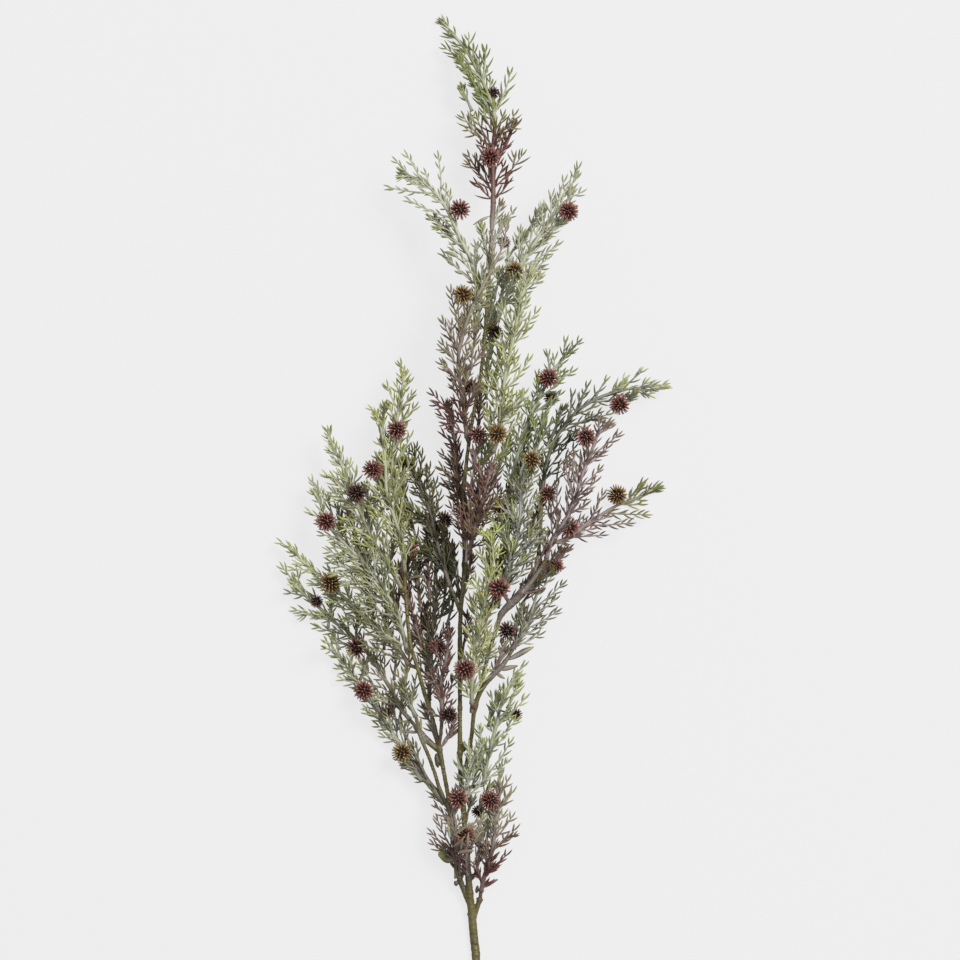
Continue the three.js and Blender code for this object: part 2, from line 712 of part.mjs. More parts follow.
// A plain woody rod with a flat cut at each end
function woodyRod(centres, radii, sides, endDirection) {
  const frames = framesAlong(centres, endDirection);
  const corners = [];
  const triangles = [];
  frames.forEach((frame, i) => {
    for (let k = 0; k < sides; k += 1) {
      corners.push(ringPoint(frame, radii[i], Math.PI * (1 + 2 * k) / sides));
    }
    if (i === 0) {
      return;
    }
    for (let k = 0; k < sides; k += 1) {
      const next = (k + 1) % sides;
      const low = (i - 1) * sides;
      const high = i * sides;
      triangles.push([low + k, low + next, high + next]);
      triangles.push([low + k, high + next, high + k]);
    }
  });
  flatEnd(triangles, 0, sides, false);
  flatEnd(triangles, (frames.length - 1) * sides, sides, true);
  return solidFrom(corners, triangles);
}

// A twig whose rings turn by half a side each, so that every ring carries a whorl of places
// for needles. A needle is its own triangle of the twig's surface, raised to a point.
function needledTwig(root, centres, radii, terminal, needleAt) {
  const frames = framesAlong(centres);
  const corners = [];
  const triangles = [];
  const turn = Math.PI / TWIG_SIDES;
  frames.forEach((frame, i) => {
    for (let k = 0; k < TWIG_SIDES; k += 1) {
      corners.push(ringPoint(frame, radii[i], turn * (i + 2 * k)));
    }
  });
  for (let i = 0; i + 1 < frames.length; i += 1) {
    for (let k = 0; k < TWIG_SIDES; k += 1) {
      const left = i * TWIG_SIDES + k;
      const right = i * TWIG_SIDES + (k + 1) % TWIG_SIDES;
      const ahead = (i + 1) * TWIG_SIDES + k;
      const aheadRight = (i + 1) * TWIG_SIDES + (k + 1) % TWIG_SIDES;
      const seat = corners[left].clone().lerp(corners[right], 0.5)
        .lerp(corners[ahead], NEEDLE_SEAT_SHARE);
      const apex = needleAt(frames[i], seat, turn * (i + 2 * k + 1));
      if (apex === null) {
        triangles.push([left, right, ahead]);
      } else {
        const point = corners.push(apex) - 1;
        triangles.push([left, right, point], [right, ahead, point], [ahead, left, point]);
      }
      triangles.push([right, aheadRight, ahead]);
    }
  }
  const last = (frames.length - 1) * TWIG_SIDES;
  const tip = corners.push(terminal) - 1;
  for (let k = 0; k < TWIG_SIDES; k += 1) {
    triangles.push([last + k, last + (k + 1) % TWIG_SIDES, tip]);
  }
  if (root === null) {
    flatEnd(triangles, 0, TWIG_SIDES, false);
  } else {
    const start = corners.push(root) - 1;
    for (let k = 0; k < TWIG_SIDES; k += 1) {
      triangles.push([(k + 1) % TWIG_SIDES, k, start]);
    }
  }
  return solidFrom(corners, triangles);
}

// Woody stem: its lines first, because shoots and berries look for the nearest wood
const woodLines = STEM_FORKS.map(({ name, path }) => ({
  name,
  points: path.map(([x, y, z]) => new THREE.Vector3(x, y, z)),
  radii: path.map((row) => row[3]),
}));

for (const { points, radii } of woodLines) {
  for (let i = 0; i + 1 < points.length; i += 1) {
    place("stem", "core", null, points[i], points[i + 1], radii[i], radii[i + 1]);
  }
}

function nearestWood(point) {
  let best = { distance: Infinity };
  for (const { points } of woodLines) {
    for (let i = 0; i + 1 < points.length; i += 1) {
      const candidate = new THREE.Vector3();
      new THREE.Line3(points[i], points[i + 1]).closestPointToPoint(point, true, candidate);
      const distance = candidate.distanceTo(point);
      if (distance < best.distance) {
        best = { distance, point: candidate };
      }
    }
  }
  return best.point;
}

// Shoot cores, and the spurs of wood that the shoots are seated on
const shoots = SHOOTS.map((shoot, index) => {
  const axes = shoot.axes.map(({ path, tips }) => ({ line: lineThrough(path), tips }));
  return { ...shoot, index, axes };
});

function coreRadiusAt(line, distance) {
  return THREE.MathUtils.lerp(CORE_ROOT_RADIUS, CORE_TIP_RADIUS, distance / line.total);
}

const spurs = shoots.map(({ axes }) => {
  const start = axes[0].line.points[0];
  const forward = directionAt(axes[0].line, 1);
  const end = start.clone().addScaledVector(forward, -SEAT_GAP);
  const behind = start.clone().addScaledVector(forward, -SPUR_LENGTH);
  return { root: nearestWood(behind), end, forward };
});
for (const { root, end } of spurs) {
  place("stem", "core", null, root, end, SPUR_RADIUS, SPUR_RADIUS);
}
for (const { name, axes } of shoots) {
  for (const { line } of axes) {
    for (let i = 0; i + 1 < line.points.length; i += 1) {
      place(name, "core", null, line.points[i], line.points[i + 1],
        coreRadiusAt(line, line.lengths[i]), coreRadiusAt(line, line.lengths[i + 1]));
    }
  }
}

// Berries: each one beside or on top of its shoot, on a stalk that points at the shoot's core
function nearestOnShoot(shoot, x, y) {
  let best = { flat: Infinity };
  for (const { line } of shoot.axes) {
    for (let s = 0; s <= line.total; s += 1) {
      const point = pointAt(line, s);
      const flat = Math.hypot(point.x - x, point.y - y);
      if (flat < best.flat) {
        best = { flat, point, line };
      }
    }
  }
  return best;
}

const berries = BERRIES.map(({ at, radius, shoot, side, tone }, index) => {
  const [x, y] = at;
  const owner = shoots.find(({ name }) => name === shoot);
  const seat = nearestOnShoot(owner, x, y);
  const room = radius + BERRY_SEAT_ROOM;
  const rise = seat.flat < room ? Math.sqrt(room * room - seat.flat * seat.flat)
    : BERRY_LOWEST_RISE;
  const centre = new THREE.Vector3(x, y, Math.max(seat.point.z + side * rise, radius));
  const stalk = seat.point.clone().sub(centre);
  const stalkLength = stalk.length();
  const name = `berry_${String(index + 1).padStart(2, "0")}`;
  place(name, "berry", null, centre, centre, radius, radius);
  place(name, "berry", null, centre, seat.point, STALK_ROOT_RADIUS, STALK_END_RADIUS);
  return { name, centre, radius, tone, index, stalk: stalk.normalize(), stalkLength, seat };
});

// Side twiglets. The tips are set by hand, and the place where each one leaves its core
// follows from the angle between them.
function placeOfBranch(line, tip) {
  for (let s = FIRST_BRANCH; s < line.total - FIRST_BRANCH; s += 1) {
    const here = pointAt(line, s);
    const forward = directionAt(line, s);
    const reachX = tip[0] - here.x;
    const reachY = tip[1] - here.y;
    const reach = Math.hypot(reachX, reachY);
    const along = (reachX * forward.x + reachY * forward.y)
      / (reach * Math.hypot(forward.x, forward.y));
    if (reach < LONGEST_TWIGLET && Math.acos(Math.min(along, 1)) >= BRANCH_ANGLE) {
      return s;
    }
  }
  return line.total - FIRST_BRANCH;
}

function twigletLine(line, s, tip) {
  const base = pointAt(line, s);
  const forward = directionAt(line, s);
  const reach = tip.clone().sub(base);
  const outward = reach.clone().addScaledVector(forward, -reach.dot(forward)).normalize();
  const middle = base.clone().lerp(tip, TWIGLET_BOW_PLACE)
    .addScaledVector(outward, TWIGLET_BOW * reach.length());
  return new THREE.QuadraticBezierCurve3(base, middle, tip).getPoints(TWIGLET_STEPS);
}

const twiglets = [];

function addTwiglet(shoot, line, s, tip) {
  const length = tip.distanceTo(pointAt(line, s));
  for (const lift of TRIED_LIFTS) {
    const end = tip.clone();
    end.z = Math.max(end.z + lift * length, FLOOR_CLEARANCE);
    const points = twigletLine(line, s, end);
    const number = twiglets.length;
    const clear = points.slice(1, -1).every((point, i) => hasRoom(shoot.name, number, point,
      points[i + 2], TWIGLET_ROOT_RADIUS, TWIGLET_TIP_RADIUS, TWIGLET_GAPS));
    if (!clear) {
      continue;
    }
    for (let i = 0; i + 1 < points.length; i += 1) {
      const endRadius = i + 2 < points.length ? TWIGLET_ROOT_RADIUS : TWIGLET_POINT_RADIUS;
      place(shoot.name, "twiglet", number, points[i], points[i + 1], TWIGLET_ROOT_RADIUS,
        endRadius);
    }
    twiglets.push({ shoot: shoot.name, points, root: pointAt(line, s - ROOT_SETBACK) });
    return;
  }
}

function addTracedTwiglet(shoot, line, [x, y], draw) {
  const s = placeOfBranch(line, [x, y]);
  const base = pointAt(line, s);
  const length = Math.hypot(x - base.x, y - base.y);
  const tilt = THREE.MathUtils.lerp(-TWIGLET_TILT, TWIGLET_TILT, draw()) * length;
  addTwiglet(shoot, line, s, new THREE.Vector3(x, y, base.z + tilt));
}

function addFillTwiglet(shoot, line, s, side, draw) {
  const forward = directionAt(line, s);
  const sideways = new THREE.Vector3(-forward.y, forward.x, 0).normalize();
  const length = FILL_LENGTH * spread(draw);
  const swing = THREE.MathUtils.lerp(-FILL_SWING, FILL_SWING, draw());
  const outward = new THREE.Vector3(0, 0, side * Math.cos(swing))
    .addScaledVector(sideways, Math.sin(swing));
  const tip = pointAt(line, s)
    .addScaledVector(forward, length * Math.cos(BRANCH_ANGLE))
    .addScaledVector(outward, length * Math.sin(BRANCH_ANGLE));
  if (tip.z > FLOOR_CLEARANCE) {
    addTwiglet(shoot, line, s, tip);
  }
}

for (const shoot of shoots) {
  const draw = randomStream(SHOOT_SEED + shoot.index);
  for (const { line, tips } of shoot.axes) {
    tips.forEach((tip) => addTracedTwiglet(shoot, line, tip, draw));
    let side = 1;
    for (let s = FILL_START; s < line.total - FILL_END; s += FILL_SPACING) {
      addFillTwiglet(shoot, line, s, side, draw);
      side = -side;
    }
  }
}

// Solids
function spacedPoints(points, spacing, endLength) {
  const line = measured(points);
  const usable = line.total - endLength;
  const count = Math.max(Math.round(usable / spacing), 1);
  return Array.from({ length: count + 1 }, (_, i) => pointAt(line, usable * i / count));
}

function twigletSolid(twiglet, number) {
  const draw = randomStream(NEEDLE_SEED + number);
  const centres = spacedPoints(twiglet.points, WHORL_SPACING, TERMINAL_NEEDLE).slice(1);
  const radii = centres.map((_, i) => THREE.MathUtils.lerp(TWIGLET_ROOT_RADIUS,
    TWIGLET_TIP_RADIUS, i / centres.length));
  const terminal = twiglet.points[twiglet.points.length - 1];
  return needledTwig(twiglet.root, centres, radii, terminal, (frame, seat, angle) => {
    const length = NEEDLE_LENGTH * spread(draw);
    const lean = NEEDLE_LEAN * spread(draw);
    const apex = seat.clone().addScaledVector(frame.forward, length * Math.cos(lean))
      .addScaledVector(aroundFrame(frame, angle), length * Math.sin(lean));
    const low = seat.z < 0 || apex.z < NEEDLE_FLOOR_CLEARANCE;
    if (low || !hasRoom(twiglet.shoot, number, seat, apex, NEEDLE_ROOT_RADIUS,
      NEEDLE_POINT_RADIUS, NEEDLE_GAPS)) {
      return null;
    }
    place(twiglet.shoot, "needle", number, seat, apex, NEEDLE_ROOT_RADIUS,
      NEEDLE_POINT_RADIUS);
    return apex;
  });
}

function coreSolid(line, extra) {
  const centres = spacedPoints(line.points, CORE_RING_SPACING, CORE_TIP_NEEDLE);
  const radii = centres.map((_, i) => extra + THREE.MathUtils.lerp(CORE_ROOT_RADIUS,
    CORE_TIP_RADIUS, i / centres.length));
  return needledTwig(null, centres, radii, line.points[line.points.length - 1], () => null);
}

function woodSolid({ name, points, radii }) {
  return woodyRod(points, radii, name === "main" ? STEM_SIDES : FORK_SIDES);
}

function spurSolid({ root, end, forward }) {
  return woodyRod([root, end], [SPUR_RADIUS, SPUR_RADIUS], FORK_SIDES, forward);
}

// A berry is a ball of twenty faces, each raised to a spike. The spike that faces the shoot
// is longer and is the stalk, cut off just short of the core.
function berrySolid({ centre, radius, index, stalk, stalkLength, seat }) {
  const draw = randomStream(BERRY_SEED + index);
  const faces = new THREE.IcosahedronGeometry(1, 0).getAttribute("position");
  const turn = new THREE.Quaternion().setFromEuler(
    new THREE.Euler(2 * Math.PI * draw(), 2 * Math.PI * draw(), 0));
  const raw = [];
  for (let i = 0; i < faces.count; i += 1) {
    raw.push(new THREE.Vector3().fromBufferAttribute(faces, i).applyQuaternion(turn));
  }
  const facing = [];
  for (let i = 0; i < raw.length; i += 3) {
    facing.push(raw[i].clone().add(raw[i + 1]).add(raw[i + 2]).normalize());
  }
  const nearest = facing.reduce((a, b) => (a.dot(stalk) > b.dot(stalk) ? a : b));
  const settle = new THREE.Quaternion().setFromUnitVectors(nearest.clone(), stalk);
  const stalkFace = facing.indexOf(nearest);
  const corners = [];
  const triangles = [];
  const numberOf = new Map();
  const cornerNumber = (point) => {
    const key = point.toArray().map((value) => value.toFixed(4)).join();
    if (!numberOf.has(key)) {
      numberOf.set(key, corners.length);
      corners.push(point.clone().applyQuaternion(settle)
        .multiplyScalar(radius * BERRY_CORE_SHARE).add(centre));
    }
    return numberOf.get(key);
  };
  facing.forEach((face, i) => {
    const [a, b, c] = [0, 1, 2].map((k) => cornerNumber(raw[3 * i + k]));
    const length = i === stalkFace ? stalkLength
      : radius * THREE.MathUtils.lerp(BERRY_SHORTEST_SPIKE, 1, draw());
    const apex = corners.push(face.clone().applyQuaternion(settle).multiplyScalar(length)
      .add(centre)) - 1;
    triangles.push([a, b, apex], [b, c, apex], [c, a, apex]);
  });
  return solidFrom(corners, triangles).subtract(coreSolid(seat.line, 2 * SEAT_GAP));
}

// Named meshes, each one pressed flat where it would pass through the table
const sprig = new THREE.Group();
const pieces = [];

function addPiece(name, solid, color, roughness) {
  pieces.push({ name, solid: solid.trimByPlane([0, 0, 1], 0), color, roughness });
}

addPiece("stem", joined([...woodLines.map(woodSolid), ...spurs.map(spurSolid)]), WOOD_TONE,
  WOOD_ROUGHNESS);

for (const shoot of shoots) {
  const twigs = shoot.axes.map(({ line }) => coreSolid(line, 0));
  twiglets.forEach((twiglet, number) => {
    if (twiglet.shoot === shoot.name) {
      twigs.push(twigletSolid(twiglet, number));
    }
  });
  addPiece(shoot.name, joined(twigs), SHOOT_TONES[shoot.tone], SHOOT_ROUGHNESS);
}

for (const berry of berries) {
  addPiece(berry.name, berrySolid(berry), BERRY_TONES[berry.tone], BERRY_ROUGHNESS);
}

const whole = new THREE.Box3();
for (const { solid } of pieces) {
  const { min, max } = solid.boundingBox();
  whole.expandByPoint(new THREE.Vector3(...min));
  whole.expandByPoint(new THREE.Vector3(...max));
}
const middle = whole.getCenter(new THREE.Vector3());
sprig.position.set(-middle.x, -middle.y, -whole.min.z);

for (const { name, solid, color, roughness } of pieces) {
  const { vertProperties, triVerts } = solid.getMesh();
  const geometry = new THREE.BufferGeometry();
  geometry.setAttribute("position", new THREE.BufferAttribute(vertProperties, 3));
  geometry.setIndex(new THREE.BufferAttribute(triVerts, 1));
  const mesh = new THREE.Mesh(geometry, new THREE.MeshStandardMaterial({ color, roughness }));
  mesh.name = name;
  sprig.add(mesh);
}

export default sprig;
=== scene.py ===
# Juniper berry sprig, lying flat and seen from above. x runs to the right, y from the cut end to
# the tip and z up. Lengths on the sprig are in millimetres until a mesh is made, and those of the
# camera, the light and the floor are in metres.
import math

import bpy
import numpy as np
from mathutils import Matrix, Vector


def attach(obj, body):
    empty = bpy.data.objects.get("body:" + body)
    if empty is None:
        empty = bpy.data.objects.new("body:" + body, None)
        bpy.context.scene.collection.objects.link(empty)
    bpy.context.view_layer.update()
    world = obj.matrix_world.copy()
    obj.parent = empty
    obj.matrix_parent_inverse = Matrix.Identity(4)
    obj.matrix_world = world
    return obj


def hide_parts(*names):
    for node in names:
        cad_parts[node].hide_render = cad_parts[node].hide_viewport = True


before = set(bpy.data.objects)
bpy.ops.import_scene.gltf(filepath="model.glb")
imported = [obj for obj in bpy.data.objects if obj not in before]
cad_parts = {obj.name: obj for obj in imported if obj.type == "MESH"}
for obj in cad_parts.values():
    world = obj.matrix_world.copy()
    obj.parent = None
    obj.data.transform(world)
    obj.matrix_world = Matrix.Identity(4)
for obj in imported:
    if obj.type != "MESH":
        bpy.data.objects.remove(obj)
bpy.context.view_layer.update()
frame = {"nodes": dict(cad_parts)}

# The camera hangs far above the middle of the picture and looks straight down through a long
# lens. The floor is pale paper that glows a little, as paper on a light table does, and the
# light is a large soft panel above on the right, with an even sky round it.
MM = 0.001
PICTURE_SIDE = 960 * MM
PICTURE_MIDDLE = (0.0, 500.0)
CAMERA_HEIGHT = 12.0
CAMERA_SIGHT = 100.0
SENSOR_WIDTH = 36.0
PANEL_SIZE = 5.0
PANEL_PLACE = (4.5, 3.6, 8.7)
PANEL_POWER = 1120.0
PANEL_COLOUR = (1.0, 0.985, 0.96)
SKY_STRENGTH = 0.42
SKY_COLOUR = (0.97, 0.975, 1.0, 1.0)
FLOOR_SIDE = 80.0
FLOOR_PAPER = (0.08, 0.08, 0.083, 1.0)
FLOOR_ROUGHNESS = 0.9
FLOOR_SHINE = 0.1
FLOOR_GLOW = 0.758
FLOOR_GLOW_BELOW = 0.35

# The cut end's ring of corners tells where the sprig's x = -5, y = 0 lies in the frame
CUT_END_X = -5.0
CUT_RING_DEPTH = 0.5
wood_corners = [vertex.co.copy() for vertex in frame["nodes"]["stem"].data.vertices]
lowest_y = min(corner.y for corner in wood_corners)
cut_ring = [corner for corner in wood_corners if corner.y < lowest_y + CUT_RING_DEPTH * MM]
cut_left = min(cut_ring, key=lambda corner: corner.x)
cut_right = max(cut_ring, key=lambda corner: corner.x)
cut_middle = (cut_left + cut_right) / 2
ORIGIN = np.array([cut_middle.x - CUT_END_X * MM, cut_middle.y, 0.0])


def in_frame(points):
    """Millimetres on the sprig to metres in the frame."""
    return np.asarray(points, float) * MM + ORIGIN


scene = bpy.context.scene
scene.view_settings.view_transform = "Standard"
scene.view_settings.look = "None"

camera_data = bpy.data.cameras.new("camera_above")
camera_data.sensor_width = SENSOR_WIDTH
camera_data.lens = SENSOR_WIDTH * CAMERA_HEIGHT / PICTURE_SIDE
camera_data.clip_end = CAMERA_SIGHT
camera = bpy.data.objects.new("camera_above", camera_data)
picture_x, picture_y, _ = in_frame((*PICTURE_MIDDLE, 0.0))
camera.location = (picture_x, picture_y, CAMERA_HEIGHT)
scene.collection.objects.link(camera)
scene.camera = camera

panel_data = bpy.data.lights.new("soft_panel", "AREA")
panel_data.shape = "DISK"
panel_data.size = PANEL_SIZE
panel_data.energy = PANEL_POWER
panel_data.color = PANEL_COLOUR
panel = bpy.data.objects.new("soft_panel", panel_data)
panel.location = PANEL_PLACE
panel.rotation_euler = (-Vector(PANEL_PLACE)).to_track_quat("-Z", "Y").to_euler()
scene.collection.objects.link(panel)

sky = bpy.data.worlds.new("even_sky")
sky.use_nodes = True
sky.node_tree.nodes["Background"].inputs["Color"].default_value = SKY_COLOUR
sky.node_tree.nodes["Background"].inputs["Strength"].default_value = SKY_STRENGTH
scene.world = sky

# What the camera sees glows more than what lights the sprig from below
paper = bpy.data.materials.new("pale_paper")
paper.use_nodes = True
paper_shader = paper.node_tree.nodes["Principled BSDF"]
paper_shader.inputs["Base Color"].default_value = FLOOR_PAPER
paper_shader.inputs["Roughness"].default_value = FLOOR_ROUGHNESS
paper_shader.inputs["Specular IOR Level"].default_value = FLOOR_SHINE
paper_shader.inputs["Emission Color"].default_value = (1.0, 1.0, 1.0, 1.0)
seen = paper.node_tree.nodes.new("ShaderNodeLightPath")
glow = paper.node_tree.nodes.new("ShaderNodeMath")
glow.operation = "MULTIPLY_ADD"
glow.inputs[1].default_value = FLOOR_GLOW - FLOOR_GLOW_BELOW
glow.inputs[2].default_value = FLOOR_GLOW_BELOW
paper.node_tree.links.new(seen.outputs["Is Camera Ray"], glow.inputs[0])
paper.node_tree.links.new(glow.outputs[0], paper_shader.inputs["Emission Strength"])
floor_data = bpy.data.meshes.new("floor")
half = FLOOR_SIDE / 2
floor_data.from_pydata([(-half, -half, 0), (half, -half, 0), (half, half, 0), (-half, half, 0)],
                       [], [(0, 1, 2, 3)])
floor_data.materials.append(paper)
floor = bpy.data.objects.new("floor", floor_data)
scene.collection.objects.link(floor)

# The woody stem is one moulded plastic stick that forks, olive-brown with rings, scars and buds,
# and turns grey where the frosting paint reached it. Every shoot slips over a short spur of it.
# A row of a fork is [x, y, height, radius], from its root to its end.
STEM_FORKS = {
    "main": [[-5, 0, 3.4, 4], [-4, 22, 3.3, 3.9], [-6, 42, 4.4, 3.7], [-8, 65, 7, 3.6],
      [-10, 85, 11, 3.1], [-12, 110, 16, 2.9], [-13, 132, 19, 2.9], [-15, 150, 22, 2.7],
      [-17, 175, 26, 2.6], [-19, 200, 30, 2.4], [-20, 228, 34, 2.6], [-20, 260, 38, 2.2],
      [-20, 300, 42, 2.2], [-20, 340, 45, 2.3], [-19, 371, 47, 2.2], [-16, 405, 49, 2.4],
      [-15, 424, 50, 2.6], [-16, 450, 51, 2.1], [-16, 490, 52, 2], [-12, 530, 53, 1.9],
      [-6, 568, 54, 1.9], [0, 600, 55, 1.9], [3, 625, 55, 1.8], [6, 660, 55, 1.8],
      [9, 700, 54, 1.7], [10, 730, 54, 1.7], [13, 762, 53, 1.7]],
    "side_fork": [[-7, 58, 6, 2.6], [-3, 72, 9, 2.3], [0, 82, 12, 2.6]],
    "left_fork": [[-10, 75, 9, 2.6], [-16, 90, 10, 2.6], [-21, 104, 12, 2.5],
      [-24, 118, 14, 2.3], [-26, 138, 17, 2.2], [-29, 160, 20, 2.2], [-32, 185, 24, 2.2],
      [-36, 208, 28, 2.1], [-40, 230, 31, 2.5], [-45, 253, 35, 2.1], [-50, 271, 38, 2.1],
      [-56, 290, 41, 2.2], [-62, 312, 43, 2.1], [-69, 335, 45, 2], [-72, 360, 45, 1.9],
      [-74, 384, 45, 1.8], [-75, 399, 47, 1.8]],
    "lower_left_fork": [[-30, 165, 21, 1.9], [-36, 182, 19, 1.9], [-46, 193, 17, 1.9],
      [-55, 204, 16, 1.8], [-62, 215, 15, 1.8]],
    "inner_fork": [[-34, 177, 20, 1.8], [-41, 194, 22, 2], [-46, 210, 26, 1.9],
      [-53, 229, 31, 1.9], [-59, 243, 35, 2.1], [-62, 256, 38, 1.8]],
    "grey_left_fork": [[-40, 229, 31, 2.2], [-50, 238, 30, 2.3], [-58, 246, 29, 2.3],
      [-65, 255, 28, 2.2]],
    "plum_fork": [[-41, 235, 32, 1.9], [-39, 247, 40, 1.9]],
    "dark_fork": [[-46, 258, 36, 1.8], [-50, 270, 34, 1.8]],
    "right_fork": [[-19, 200, 30, 2], [-14, 215, 33, 2], [-11, 230, 36, 2.1], [-8, 248, 40, 2.1],
      [-6, 268, 45, 2.2], [-2, 284, 49, 2.3], [5, 297, 51, 2.3], [13, 306, 53, 2.2],
      [21, 314, 54, 2.1], [27, 322, 55, 2]],
    "far_right_fork": [[-2, 284, 49, 2], [3, 305, 50, 2], [9, 328, 51, 2], [15, 348, 52, 2.1],
      [21, 366, 53, 2.4], [30, 376, 54, 2.5], [41, 387, 55, 2.4], [52, 400, 56, 2.3],
      [60, 412, 58, 2.1]],
    "dark_right_fork": [[52, 400, 56, 1.9], [57, 420, 52, 1.8], [60, 445, 46, 1.8],
      [61, 467, 41, 1.7]],
    "dark_left_fork": [[-19, 366, 47, 2], [-24, 381, 44, 2]],
    "collar_fork": [[-16, 405, 49, 1.9], [-14, 418, 57, 1.9]],
    "upper_fork": [[-16, 460, 51, 1.8], [0, 464, 56, 1.6], [16, 460, 59, 1.6]],
    "front_fork": [[-12, 510, 52, 1.7], [0, 516, 60, 1.7]],
}

